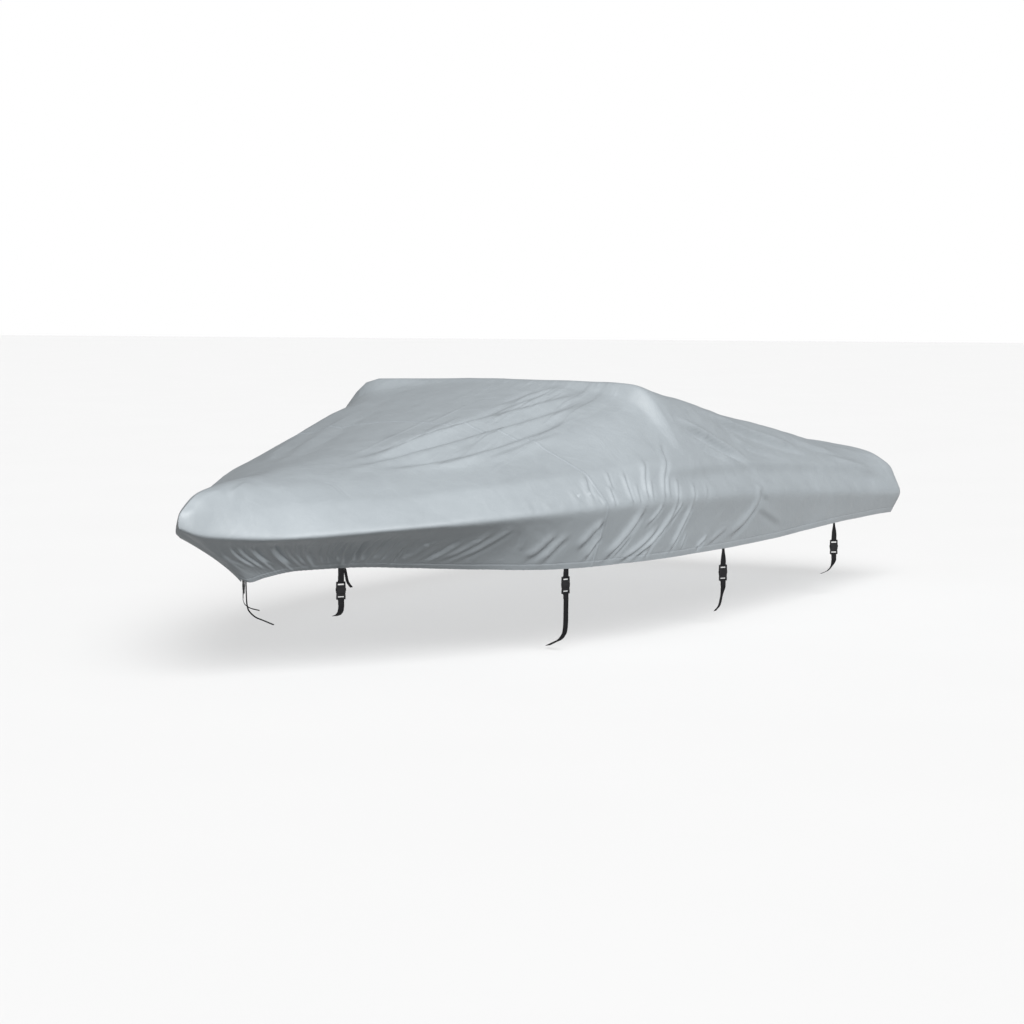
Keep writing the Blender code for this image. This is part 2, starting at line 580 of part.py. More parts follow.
def ribbon(name, path, place, outward, turn, material):
    """Flat webbing of even thickness along a path of (outward, up) points, turned about its
    hanging line by the angle that turn gives at each height."""
    across = outward.cross(UP) * (WEB_WIDTH / 2)
    path = np.array(path)
    legs = np.diff(path, axis=0)
    legs /= np.linalg.norm(legs, axis=1)[:, None]
    bisectors = np.concatenate([legs[:1], (legs[:-1] + legs[1:]) / 2, legs[-1:]])
    mitres = np.linalg.norm(bisectors, axis=1)
    bisectors /= mitres[:, None]
    bm = bmesh.new()
    rings = []
    for (out, up), (run_out, run_up), mitre in zip(path, bisectors, mitres):
        centre = outward * float(out) + UP * float(up)
        thick = outward * float(-run_up) + UP * float(run_out)
        thick *= WEB_THICK / 2 / max(float(mitre), SHARPEST_MITRE)
        corners = (centre - across - thick, centre + across - thick,
                   centre + across + thick, centre - across + thick)
        turned = Matrix.Rotation(turn(float(up)), 3, "Z")
        rings.append([bm.verts.new(place + turned @ corner) for corner in corners])
    for ring, after in zip(rings[:-1], rings[1:]):
        for k in range(4):
            bm.faces.new((ring[k], ring[(k + 1) % 4], after[(k + 1) % 4], after[k]))
    bm.faces.new(rings[0][::-1])
    bm.faces.new(rings[-1])
    bmesh.ops.recalc_face_normals(bm, faces=bm.faces[:])
    bmesh.ops.triangulate(bm, faces=bm.faces[:])
    mesh = bpy.data.meshes.new(name)
    bm.to_mesh(mesh)
    bm.free()
    add_object(name, mesh, material)


def around_bar(up, start, end):
    """Points of webbing around a bar, whose middle stands LOOP_RADIUS behind the strap."""
    angles = np.radians(np.linspace(start, end, 7))
    return [(LOOP_RADIUS * (np.cos(angle) - 1.0) - SEAT, up + LOOP_RADIUS * np.sin(angle))
            for angle in angles]


def sewn_in_webbing(drop, slope):
    """Path of the webbing: up behind the hem, and down around the socket's bar and back."""
    inside = np.array([-slope[1], slope[0]]) * SEAT
    socket_bar = -drop - BAR_SINK
    path = [inside + slope * SEWN_IN, inside + slope * SEWN_IN / 2,
            (-SEAT, SEAT * (1.0 - slope[1]) / slope[0])]
    path += [(-SEAT, -share * drop) for share in (0.15, 0.3, 0.45, 0.6, 0.75)]
    path += around_bar(socket_bar, 0.0, -180.0)
    return path + [(-2 * LOOP_RADIUS - SEAT, socket_bar + 0.003),
                   (-DOUBLED - SEAT, socket_bar + 0.010),
                   (-DOUBLED - SEAT, socket_bar + min(FOLD_BACK, drop - 0.008))]


def loose_tail(plug_bar, steps):
    """Path of the loose end: around the plug's bar, then down along the hull's side."""
    path = [(-DOUBLED - SEAT, plug_bar - FOLD_BACK), (-DOUBLED - SEAT, plug_bar - 0.010),
            (-2 * LOOP_RADIUS - SEAT, plug_bar - 0.003)]
    path += around_bar(plug_bar, 180.0, 0.0)
    start = plug_bar - FOLD_BACK - 0.004
    controls = np.array([(-SEAT, start)] + [(-SEAT - keel, start - down) for keel, down in steps])
    knots = np.arange(len(controls), dtype=float)
    finer = np.linspace(0.0, knots[-1], 3 * len(steps) + 1)
    return path + list(zip(smooth_through(knots, controls[:, 0], finer),
                           smooth_through(knots, controls[:, 1], finer)))


def build_strap(name, side, strap, patch, meshes, materials):
    """One hull strap: sewn-in webbing, socket, plug and the loose end that runs under."""
    place, outward, slope = strap_frame(strap["x"], side, patch)
    socket_bar = -strap["drop"] - BAR_SINK
    for piece, path in (("webbing", sewn_in_webbing(strap["drop"], slope)),
                        ("tail", loose_tail(socket_bar - PLUG_BAR_DROP, strap["tail"]))):
        ribbon(f"{name}_{piece}", path, place, outward, lambda up: turn_at(up, strap, side),
               materials["webbing"])
    facing = Matrix.Rotation(turn_at(socket_bar, strap, side), 3, "Z") @ outward
    stand = Matrix((facing.cross(UP), facing, UP)).transposed().to_4x4()
    stand.translation = place - facing * (SEAT + LOOP_RADIUS) + UP * socket_bar
    for piece in ("socket", "plug"):
        buckle = add_object(f"{name}_{piece}", meshes[piece], materials["buckle"])
        buckle.matrix_world = stand


# ---- materials and scene ------------------------------------------------------------------

def make_material(name, colour, roughness):
    """Plain Principled material."""
    material = bpy.data.materials.new(name)
    material.use_nodes = True
    shader = material.node_tree.nodes["Principled BSDF"]
    shader.inputs["Base Color"].default_value = (*colour, 1.0)
    shader.inputs["Roughness"].default_value = roughness
    shader.inputs["Metallic"].default_value = 0.0
    return material


def add_object(name, mesh, material):
    """Link a finished piece into the scene with its material."""
    piece = bpy.data.objects.new(name, mesh)
    if not mesh.materials:
        mesh.materials.append(material)
    bpy.context.scene.collection.objects.link(piece)
    return piece


def main():
    for old in list(bpy.data.objects):
        bpy.data.objects.remove(old)
    materials = {
        "cloth": make_material("grey_coated_cloth", (0.33, 0.39, 0.44), 0.45),
        "webbing": make_material("black_webbing", (0.012, 0.012, 0.013), 0.75),
        "buckle": make_material("black_acetal", (0.010, 0.010, 0.011), 0.40),
    }
    patches = build_cloth(materials["cloth"])
    meshes = {"socket": socket_mesh(), "plug": plug_mesh()}
    for side, hand in ((-1, "port"), (1, "starboard")):
        for name, strap in STRAPS.items():
            build_strap(f"{hand}_{name}", side, strap, patches[(name, side)], meshes, materials)


main()
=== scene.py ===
"""Boat cover: cloth, stitching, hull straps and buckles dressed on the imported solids.

Run as a script it loads the frame, calls one operator for each group of pieces and then one for
the stage. Lengths are in metres, apart from the tables of ribs and folds, which are written in
millimetres. The bow points along -X, port is -Y and +Z is up.
"""

import math
import random

import bmesh
import bpy
import numpy as np
from mathutils import Matrix, Vector, noise


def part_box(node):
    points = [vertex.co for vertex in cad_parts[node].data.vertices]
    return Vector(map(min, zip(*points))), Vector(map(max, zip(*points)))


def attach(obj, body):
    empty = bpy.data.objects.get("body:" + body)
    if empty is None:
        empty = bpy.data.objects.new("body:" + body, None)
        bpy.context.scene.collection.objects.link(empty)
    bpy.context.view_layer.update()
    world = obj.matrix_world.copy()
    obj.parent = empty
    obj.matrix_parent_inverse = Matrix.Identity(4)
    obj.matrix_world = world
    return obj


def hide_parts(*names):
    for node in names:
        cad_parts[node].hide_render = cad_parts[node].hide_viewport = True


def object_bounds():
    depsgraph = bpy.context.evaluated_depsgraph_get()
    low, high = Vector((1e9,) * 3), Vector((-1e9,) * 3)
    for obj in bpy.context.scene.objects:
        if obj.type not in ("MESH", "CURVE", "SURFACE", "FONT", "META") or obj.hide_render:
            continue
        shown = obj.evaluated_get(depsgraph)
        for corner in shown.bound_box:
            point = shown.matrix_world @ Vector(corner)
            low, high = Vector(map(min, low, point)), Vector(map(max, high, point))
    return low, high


bl_info = {
    "name": "Boat cover",
    "version": (1, 0, 0),
    "blender": (4, 5, 0),
    "location": "View3D > Sidebar > Boat cover",
    "description": "Models the cloth, stitching and hull straps of a fitted boat cover",
    "category": "Object",
}

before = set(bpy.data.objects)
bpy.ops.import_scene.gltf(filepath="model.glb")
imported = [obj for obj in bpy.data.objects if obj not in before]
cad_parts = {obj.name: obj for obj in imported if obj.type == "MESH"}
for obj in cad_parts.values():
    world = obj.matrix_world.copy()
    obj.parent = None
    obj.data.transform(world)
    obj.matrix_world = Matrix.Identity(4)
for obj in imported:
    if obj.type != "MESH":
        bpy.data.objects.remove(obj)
CAD_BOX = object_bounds()

# ---- shape of the cover ----

# The cover is lofted over ribs, as its solids are. Each rib runs from the hem, out over the
# gunwale's knuckle and up to the spine on the centre line. "along" goes from the bow's stem (0)
# to the middle of the transom (1000) on either side. The rest is in millimetres, with y as a
# half-width.
RIB_COLUMNS = ("along", "knuckle_x", "knuckle_y", "knuckle_z", "hem_x", "hem_y", "hem_z",
               "shoulder_x", "shoulder_y", "shoulder_z", "crest_x", "crest_y", "crest_z",
               "spine_x", "spine_z")
RIBS = np.array((
    (0, -2430, 0, -486, -2040, 0, -708, -2430, 0, -428, -2290, 0, -356, -1950, -318),
    (30, -2400, 40, -504, -2005, 24, -722, -2385, 32, -424, -2265, 24, -356, -1945, -317),
    (70, -2300, 108, -524, -1950, 60, -706, -2270, 76, -420, -2185, 46, -350, -1930, -315),
    (130, -2100, 254, -536, -1840, 135, -684, -2055, 168, -418, -2015, 92, -345, -1880, -310),
    (190, -1870, 420, -526, -1670, 250, -681, -1830, 305, -411, -1800, 160, -339, -1760, -300),
    (250, -1620, 590, -512, -1470, 405, -694, -1590, 455, -405, -1580, 250, -324, -1570, -282),
    (320, -1330, 745, -498, -1240, 570, -713, -1320, 615, -388, -1315, 360, -302, -1310, -250),
    (380, -1030, 865, -486, -990, 740, -728, -1030, 745, -363, -1030, 460, -262, -1030, -203),
    (440, -700, 955, -479, -680, 870, -734, -700, 855, -342, -700, 570, -211, -700, -141),
    (500, -350, 1010, -479, -345, 950, -732, -350, 930, -324, -350, 640, -138, -350, -66),
    (545, -80, 1038, -483, -80, 985, -733, -80, 955, -331, -80, 645, -66, -80, -6),
    (560, 0, 1043, -485, 0, 992, -733, 0, 958, -336, 0, 658, -4, 0, 10),
    (575, 80, 1048, -487, 80, 996, -733, 80, 960, -344, 80, 698, -30, 80, 2),
    (620, 350, 1050, -494, 350, 1004, -734, 350, 960, -360, 350, 725, -84, 350, -30),
    (680, 750, 1050, -513, 750, 1014, -732, 750, 958, -378, 750, 718, -154, 750, -90),
    (740, 1200, 1050, -541, 1200, 1017, -723, 1200, 955, -401, 1200, 703, -222, 1200, -160),
    (800, 1700, 1047, -574, 1700, 1014, -716, 1700, 950, -434, 1700, 712, -300, 1700, -240),
    (850, 2080, 1042, -602, 2080, 1008, -718, 2080, 955, -454, 2080, 790, -376, 2050, -298),
    (890, 2360, 1038, -620, 2320, 1000, -723, 2350, 975, -486, 2300, 880, -421, 2170, -314),
    (915, 2450, 1005, -628, 2385, 972, -726, 2445, 945, -491, 2380, 840, -416, 2200, -320),
    (940, 2480, 900, -628, 2400, 870, -724, 2470, 840, -476, 2400, 700, -391, 2210, -324),
    (970, 2485, 500, -626, 2405, 490, -723, 2460, 460, -426, 2380, 360, -364, 2220, -328),
    (1000, 2487, 0, -625, 2407, 0, -722, 2460, 0, -411, 2380, 0, -358, 2220, -330),
)) / 1000.0

KNUCKLE_SOFTNESS = 0.018  # a rib's corners are rounded over this
SOFT_REACH = 3  # and are softened this many times as far
BOW_FLARE = 0.035  # how far the skirt bows in, under the stem
FLARE_END = 0.40  # it no longer does from here along the edge
FLARE_BUILT = 0.12  # and bows fully inward from here
FLARE_AFT, FLARE_INWARD = 0.6, 0.8  # the way it bows
HEM_PULL, HEM_PULL_WIDTH = 0.0007, 0.0022  # how deep and wide the hem's stitches pull
HEM_PUCKER = 0.0005  # height of the hem's puckers
HEM_STEP = 0.0004  # and of its doubled cloth
SIDE_END, SIDE_STEPS = 0.9, 901  # the sides end here along the edge; places to look one up
SEAM_X = -0.75
SEAM_GAP = 0.00004  # between the two panels
SEAM_RIBS = (0.0015, 0.0105, 0.0125, 0.018)  # ribs that stand this far aft of the joint
SEAM_LIFTS = (0.0, 0.0008, 0.0008, 0.0)  # height of the seam's band at the joint and after
SEAM_CLEAR = 0.0012  # no other rib stands this near
SEAM_FIRST_ROW = 3  # row at which the seam's stitching starts

# Folds as three points (u, v) in a flat view, the height of the ridge and its half-width, all
# in millimetres. A trough lies beside each ridge.
# Folds over the side, drawn in elevation (u = x, v = z)
SIDE_FOLDS = np.array((
    # pulled aft from the windscreen corner
    (50, -150, 340, -260, 620, -390, 23, 19), (420, -140, 930, -260, 1460, -380, 21, 19),
    (90, -230, 270, -310, 460, -380, 10, 14), (610, -270, 770, -320, 980, -360, 10, 14),
    (1440, -320, 1650, -360, 1900, -400, 9, 15), (1640, -400, 1900, -460, 2190, -530, 13, 22),
    # edge of the cockpit's coaming
    (-470, -360, 600, -380, 1760, -460, 10, 32), (1500, -420, 1800, -470, 2180, -540, 8, 28),
    # standing above the knuckle
    (-1150, -430, -1160, -460, -1170, -490, 5, 9), (-1080, -440, -1080, -460, -1080, -480, 3, 9),
    (-1000, -440, -1000, -470, -1000, -480, 3, 8), (-900, -400, -910, -440, -920, -480, 8, 9),
    (-860, -390, -880, -440, -900, -480, 6, 8), (-780, -350, -820, -410, -840, -480, 9, 10),
    (-650, -340, -670, -380, -680, -410, 5, 8), (-790, -430, -780, -460, -780, -480, 4, 9),
    (-690, -400, -710, -440, -720, -480, 7, 9), (-560, -340, -590, -420, -600, -480, 8, 10),
    (-520, -400, -540, -440, -550, -480, 5, 8), (-380, -300, -460, -390, -490, -470, 10, 10),
    (-410, -390, -440, -430, -460, -470, 5, 8), (-120, -240, -290, -360, -380, -480, 13, 10),
    (-260, -380, -300, -420, -330, -470, 4, 8), (-210, -400, -250, -440, -280, -490, 9, 9),
    (-90, -430, -120, -460, -140, -490, 7, 9), (20, -440, 0, -460, -30, -490, 3, 9),
    # slanting down the skirt
    (-1170, -540, -1140, -590, -1130, -650, 5, 11),
    (-1010, -570, -1040, -630, -1080, -680, 10, 16), (-940, -580, -980, -640, -1010, -710, 9, 14),
    (-770, -530, -820, -590, -870, -660, 12, 16), (-750, -600, -780, -650, -810, -720, 8, 10),
    (-510, -490, -600, -610, -700, -710, 14, 17), (-560, -610, -600, -660, -650, -710, 6, 8),
    (-390, -490, -420, -530, -480, -580, 9, 9), (-380, -580, -480, -660, -600, -720, 11, 12),
    (-270, -480, -360, -610, -530, -720, 12, 12), (-230, -490, -270, -540, -330, -610, 7, 8),
    (-380, -640, -420, -680, -440, -720, 6, 9), (-140, -490, -200, -600, -270, -710, 11, 12),
    (-140, -630, -160, -670, -170, -710, 5, 8), (50, -660, 0, -690, -40, -710, 8, 9),
    (230, -640, 140, -670, 70, -700, 5, 10),
    # spread over the stern quarter
    (520, -460, 470, -580, 220, -690, 11, 19), (530, -460, 560, -500, 650, -540, 4, 16),
    (510, -560, 670, -610, 840, -670, 4, 20), (510, -400, 570, -440, 700, -470, 4, 14),
    # spread behind the gathers of the bow
    (-1500, -570, -1500, -620, -1510, -670, 6, 12),
    (-1410, -570, -1420, -620, -1450, -670, -7, 11),
    (-1310, -550, -1340, -610, -1400, -670, 8, 12), (-1230, -540, -1270, -600, -1340, -670, 6, 13),
)) / 1000.0
# Folds across the fore deck, drawn in plan (u = x, v = y)
DECK_FOLDS = np.array((
    (-430, -260, -230, -280, -50, -350, 9, 22), (-1330, -170, -710, -250, -70, -370, 12, 24),
    (-1480, -130, -730, -270, -30, -500, 13, 28), (-1610, -170, -870, -380, -60, -600, 17, 34),
    (-1470, -270, -1030, -490, -350, -610, 14, 28), (-1100, -530, -850, -580, -560, -630, 9, 20),
    (-1300, -410, -1160, -470, -950, -520, 7, 18), (-2220, -70, -2130, -60, -2020, -40, 4, 16),
)) / 1000.0
# Folds across the stern, drawn from behind on either half (u = y, v = z)
STERN_FOLDS = np.array((
    (930, -500, 900, -600, 910, -712, 6, 20), (800, -480, 760, -580, 780, -705, 5, 22),
    (520, -420, 440, -540, 470, -700, 4, 26), (160, -410, 200, -530, 170, -700, 4, 26),
)) / 1000.0
FOLD_FADE = 0.30  # share of a fold's length over which it dies out at each end
FOLD_END = 0.10  # share of its height that is left at the very end
FOLD_STEPS = 8  # straight steps along a fold's curve
FOLD_REACH = 5.0  # a fold is felt this many widths away
STEEP_SIDE, GENTLE_SIDE = 0.65, 1.35  # the ridge's widths towards its trough and away from it
TROUGH_SHARE = 0.55  # depth of the trough, as a share of the ridge
TROUGH_OFFSET, TROUGH_WIDTH = 1.3, 0.9  # its distance from the ridge and half-width, in widths
# The fan of fine creases gathered under the bow, in the side elevation
GATHER_COUNT = 25
GATHER_SPAN = (-2.31, -1.58)  # where they start below the knuckle
GATHER_LEVELS = (-0.548, -0.612, -0.685)
GATHER_SLANT = (0.28, 0.07)  # how far aft they run, under the stem and at their last
GATHER_STRAIGHT = -2.08  # ahead of this they all slant alike
GATHER_UPRIGHT = 1.2  # and aft of it they turn upright at this rate
GATHER_DEPTH = (0.0050, 0.0095)
GATHER_WIDTH = (0.0036, 0.0066)  # half-width, under the stem and at the last one
GATHER_STRAY = 0.3  # how far each strays from even spacing
GATHER_SHORTEST = 0.75  # the shortest, as a share of the full length
GATHER_SEED = 8
STARBOARD_SHIFT = 0.07  # starboard's folds lie this far aft of port's
STARBOARD_SHARE = 0.8  # and have this share of their height
STARBOARD_DECK = slice(3, 6)  # the deck's folds that starboard has as well
ON_CENTRE = 1e-6
NEAR_CENTRE = 0.01  # folds over the side start this far off the centre line
CENTRE_FADE = 0.07  # and grow over this
KNUCKLE_LEVEL = -0.46  # folds across the deck lie above this
HEM_LEVEL = -0.72
STRAP_CALM = 0.055  # the cloth is drawn flat this near to a strap
STERN_X = 2.36  # folds across the stern lie aft of this

# How many ribs stand between two places along the edge. Rows up each rib: near the hem as
# distances, then a number over the skirt, the side, the top and beside the spine, on either side
RIB_STRETCHES = ((0.0, 0.06, 20), (0.06, 0.24, 186), (0.24, 0.42, 62), (0.42, 0.57, 140),
                 (0.57, 0.68, 48), (0.68, 0.88, 50), (0.88, 0.95, 24), (0.95, 1.0, 12))
HEM_ROWS = (0.0, 0.003, 0.008, 0.014, 0.020, 0.0245, 0.0265, 0.0285, 0.032, 0.036)
UPPER_ROWS = {-1: (34, 34, 44, 6), 1: (12, 12, 10, 3)}
UPPER_SHARES = (0.34, 0.87)  # shares of the way from knuckle to spine where two groups end
FINE_STEPS = 480  # points on a rib's fine line
SKIRT_STEPS = 80  # and on its skirt before it is evened
CLOTH_CREASE = 55.0  # degrees from which an edge stays sharp

SIDES = (("port", -1), ("starboard", 1))
# The hull straps of either side: their place, how far the buckle hangs below the hem, their turn
# toward the bow in degrees, and the loose end's places, each as a way inward and a way down
STRAPS = {
    "bow": {"x": -1.69, "drop": 0.056, "turn": 0.0,
            "tail": ((0.006, 0.018), (0.030, 0.036), (0.066, 0.046))},
    "fore": {"x": -0.87, "drop": 0.034, "turn": 0.0,
             "tail": ((0.002, 0.090), (0.008, 0.130), (0.040, 0.166), (0.078, 0.182),
                      (0.122, 0.200))},
    "mid": {"x": 0.24, "drop": 0.074, "turn": 34.0,
            "tail": ((0.010, 0.055), (0.018, 0.085), (0.040, 0.112))},
    "aft": {"x": 1.52, "drop": 0.084, "turn": 48.0,
            "tail": ((0.010, 0.030), (0.030, 0.055), (0.064, 0.072))},
}
SEWN_IN = 0.032  # length behind the hem
FOLD_BACK = 0.026  # a doubled end reaches this far from its bar
FOLD_CLEAR = 0.008  # the doubled end stays this far below the hem
OFF_BAR = 0.003  # doubled webbing leaves a bar here
LAID_FLAT = 0.010  # and lies flat from here
TAIL_DOUBLED = 0.018
TAIL_FRONT = (0.012, 0.021)  # in front it runs straight down to here
TAIL_START = 0.004
TAIL_STEPS = 7  # points from one of the tail's places to the next
BAR_SINK = 0.004  # the socket's bar lies this far below its top
WEB_ROUNDING = 0.3  # how far its edges are rounded, in thicknesses
WEB_EDGE, WEB_CREASE = 60.0, 40.0  # degrees from which an edge is rounded, and stays sharp
HEM_CLEAR = 0.0007  # gap from the cloth to the webbing
WEB_CLEAR = 0.0004  # from a bar to the webbing
BAR_RADIUS = 0.0022
PLUG_BAR_DROP = 0.062  # from the socket's bar down to the plug's
WEB_TOP = 0.003  # the sewn-in end is read from this much of its top
CHEEK_TOP = 0.004  # the socket's lugs rise this far above its bar
TURN_START = 0.004  # a turned strap starts to turn this far below the hem
TURN_SHARE = 0.75  # and has turned at this share of its drop
TURN_BACK = 0.045  # its loose end has turned back over this length
TACK_ROWS = (0.014, 0.020)  # rows of stitches, below the plug's bar
TACK_EDGE = 0.003  # and clear of the webbing's edges
TACK_STITCH = (0.0024, 0.0030, 0.00035)  # length, pitch and radius of the thread
UP = Vector((0.0, 0.0, 1.0))

# Camera in the object's frame: its place, and its turn and pitch in degrees
CAMERA_PLACE = (-9.855, -5.523, 0.344)
CAMERA_TURN = -61.0
CAMERA_PITCH = 4.75
# Where each light comes from, its softness in degrees and whether it casts a shadow
LIGHTS = {
    "key": ((-0.48, -0.50, 0.72), 50.0, True),
    "even": ((-0.48, -0.55, 0.68), 12.0, False),
    "low": ((-0.80, -0.50, -0.30), 12.0, False),
}
FLOOR_SIZE = 160.0
SEEN_TO = 400.0  # the camera's far limit
WHITE = (1.0, 1.0, 1.0, 1.0)


# ---- curves ----

def smooth_through(knots, values, at):
    """Cubic through the values at the knots that never overshoots between two of them."""
    steps = np.diff(knots)
    slopes = np.diff(values) / steps
    tangents = np.zeros_like(values)
    tangents[0], tangents[-1] = slopes[0], slopes[-1]
    left, right = slopes[:-1], slopes[1:]
    same_way = left * right > 0
    weight_left = 2 * steps[1:] + steps[:-1]
    weight_right = steps[1:] + 2 * steps[:-1]
    tangents[1:-1][same_way] = (weight_left + weight_right)[same_way] / (
        weight_left[same_way] / left[same_way] + weight_right[same_way] / right[same_way])
    span = np.clip(np.searchsorted(knots, at) - 1, 0, len(steps) - 1)
    t = (at - knots[span]) / steps[span]
    rise = values[span + 1] - values[span]
    start, end = tangents[span] * steps[span], tangents[span + 1] * steps[span]
    return values[span] + t * (start + t * (3 * rise - 2 * start - end
                                            + t * (start + end - 2 * rise)))


def blend(pair, share):
    """The number at this share of the way from the pair's first to its second."""
    return pair[0] + share * (pair[1] - pair[0])


def rib_value(name, along):
    """One column of the ribs' table, read at any place along the cover's edge."""
    return smooth_through(RIBS[:, 0], RIBS[:, RIB_COLUMNS.index(name)], along)


def rib_point(name, along, side):
    """A named point of the rib: hem, knuckle, shoulder or crest."""
    return np.array([rib_value(f"{name}_{axis}", along) for axis in "xyz"]) * [1.0, side, 1.0]


def travelled_along(points):
    """Distance travelled along the polyline at each of its points."""
    lengths = np.linalg.norm(np.diff(points, axis=0), axis=1)
    return np.concatenate([[0.0], np.cumsum(lengths)])


def points_at(points, travelled, at):
    """Points on the polyline at the given distances along it."""
    return np.stack([np.interp(at, travelled, points[:, k]) for k in range(3)], axis=1)


def rib_line(along, side):
    """One rib from hem to spine as a fine softened line, its distances and the knuckle's."""
    hem, knuckle, shoulder, crest = (rib_point(name, along, side)
                                     for name in ("hem", "knuckle", "shoulder", "crest"))
    spine = np.array([rib_value("spine_x", along), 0.0, rib_value("spine_z", along)])
    on_centre_line = abs(hem[1]) < ON_CENTRE

    def carried_on(points, end):
        return 2 * end - points if on_centre_line else points * [1.0, -1.0, 1.0]

    controls = np.array([shoulder, crest, spine, carried_on(crest, spine)])
    travelled = travelled_along(controls)
    at = np.linspace(0.0, travelled[2], FINE_STEPS)
    top = np.stack([smooth_through(travelled, controls[:, k], at) for k in range(3)], axis=1)

    share = np.linspace(0.0, 1.0, SKIRT_STEPS)[:-1, None]
    flare = BOW_FLARE * max(0.0, 1.0 - along / FLARE_END) * 4.0 * share * (1.0 - share)
    inward = np.array([FLARE_AFT, -FLARE_INWARD * side * min(1.0, along / FLARE_BUILT), 0.0])
    skirt = hem + (knuckle - hem) * share + flare * inward
    line = np.concatenate([skirt, knuckle + (shoulder - knuckle) * share, top])

    travelled = travelled_along(line)
    evenly = np.linspace(0.0, travelled[-1], FINE_STEPS)
    evened = points_at(line, travelled, evenly)
    step = evenly[1]
    reach = int(SOFT_REACH * KNUCKLE_SOFTNESS / step)
    padded = np.concatenate([2 * evened[0] - evened[reach:0:-1], evened,
                             carried_on(evened[-2:-reach - 2:-1], evened[-1])])
    window = np.exp(-0.5 * (np.arange(-reach, reach + 1) * step / KNUCKLE_SOFTNESS) ** 2)
    window /= window.sum()
    rounded = np.stack([np.convolve(padded[:, k], window, "valid") for k in range(3)], axis=1)
    rounded[0] = evened[0]
    rounded[-1, 1] = 0.0
    return rounded, evenly, travelled[len(skirt)]


def rib_section(along, side):
    """Points up one rib at every row, and the distance of each row from the hem."""
    rounded, evenly, knuckle_at = rib_line(along, side)
    ends = [HEM_ROWS[-1], knuckle_at]
    ends += [blend((knuckle_at, evenly[-1]), share) for share in (*UPPER_SHARES, 1.0)]
    places = np.concatenate([HEM_ROWS] + [
        np.linspace(start, end, count + 1)[1:]
        for start, end, count in zip(ends, ends[1:], UPPER_ROWS[side])])
    return points_at(rounded, evenly, places), places


def along_at_hem(x):
    """Place along the edge where the hem crosses this x on the cover's side."""
    places = np.linspace(0.0, SIDE_END, SIDE_STEPS)
    return float(np.interp(x, rib_value("hem_x", places), places))


# ---- folds ----

def fold_curve(knots):
    """Points on the curve through the fold's three points."""
    t = np.linspace(0.0, 1.0, FOLD_STEPS + 1)[:, None]
    start, middle, end = np.reshape(knots, (3, 2))
    return start * (1 - t) * (1 - 2 * t) + middle * 4 * t * (1 - t) + end * t * (2 * t - 1)


def fold_height(flat, rows, trough_side):
    """Height of all the folds at points given in a flat view. The trough lies below the ridge
    where trough_side is -1, and above it where it is 1."""
    total = np.zeros(len(flat))
    for *knots, height, width in rows:
        path, reach = fold_curve(knots), FOLD_REACH * width
        near = np.where(((flat > path.min(0) - reach) & (flat < path.max(0) + reach)).all(1))[0]
        spot = flat[near]
        nearest = np.full(len(near), np.inf)
        offset, share = np.zeros(len(near)), np.zeros(len(near))
        for k, leg in enumerate(np.diff(path, axis=0)):
            t = np.clip((spot - path[k]) @ leg / np.linalg.norm(leg) ** 2, 0.0, 1.0)
            away = spot - path[k] - t[:, None] * leg
            distance = np.linalg.norm(away, axis=1)
            cross = leg[0] * away[:, 1] - leg[1] * away[:, 0]
            closer = distance < nearest
            nearest[closer] = distance[closer]
            offset[closer] = (np.sign(cross) * math.copysign(1.0, leg[0]) * distance)[closer]
            share[closer] = ((k + t) / FOLD_STEPS)[closer]
        taper = np.clip(np.minimum(share, 1.0 - share) / FOLD_FADE, 0.0, 1.0)
        taper = taper * taper * (3 - 2 * taper)
        towards = offset * trough_side
        ridge = np.exp(-(nearest / (width * np.where(towards > 0, STEEP_SIDE, GENTLE_SIDE))) ** 2)
        ridge *= FOLD_END + (1.0 - FOLD_END) * taper
        beside = (towards - TROUGH_OFFSET * width) / (TROUGH_WIDTH * width)
        beyond_end = np.sqrt(np.maximum(nearest ** 2 - offset ** 2, 0.0)) / width
        trough = TROUGH_SHARE * np.exp(-beside ** 2 - beyond_end ** 2) * taper
        total[near] += height * (ridge - trough)
    return total


def bow_gathers():
    """Rows for the fan of fine creases gathered under the bow."""
    chance = random.Random(GATHER_SEED)
    top, middle, low = GATHER_LEVELS
    rows = []
    for k in range(GATHER_COUNT):
        share = (k + chance.uniform(-GATHER_STRAY, GATHER_STRAY)) / (GATHER_COUNT - 1)
        start = blend(GATHER_SPAN, share)
        upright = max(0.0, (start - GATHER_STRAIGHT) / (GATHER_SPAN[1] - GATHER_STRAIGHT))
        slant = blend(GATHER_SLANT, min(1.0, GATHER_UPRIGHT * upright))
        end = chance.uniform(GATHER_SHORTEST, 1.0)
        rows.append((start, top, start + 0.5 * end * slant, middle,
                     start + end * slant, blend((top, low), end),
                     -chance.uniform(*GATHER_DEPTH), blend(GATHER_WIDTH, share)))
    return rows


def slack(points, props):
    """Uneven hang of the cloth: broad swells and a finer pucker."""
    swell = np.array([noise.noise(Vector(p) * props.swell_scale) for p in points])
    pucker = np.array([noise.noise(Vector(p) * props.pucker_scale) for p in points])
    return swell * props.swell_height + pucker * props.pucker_height


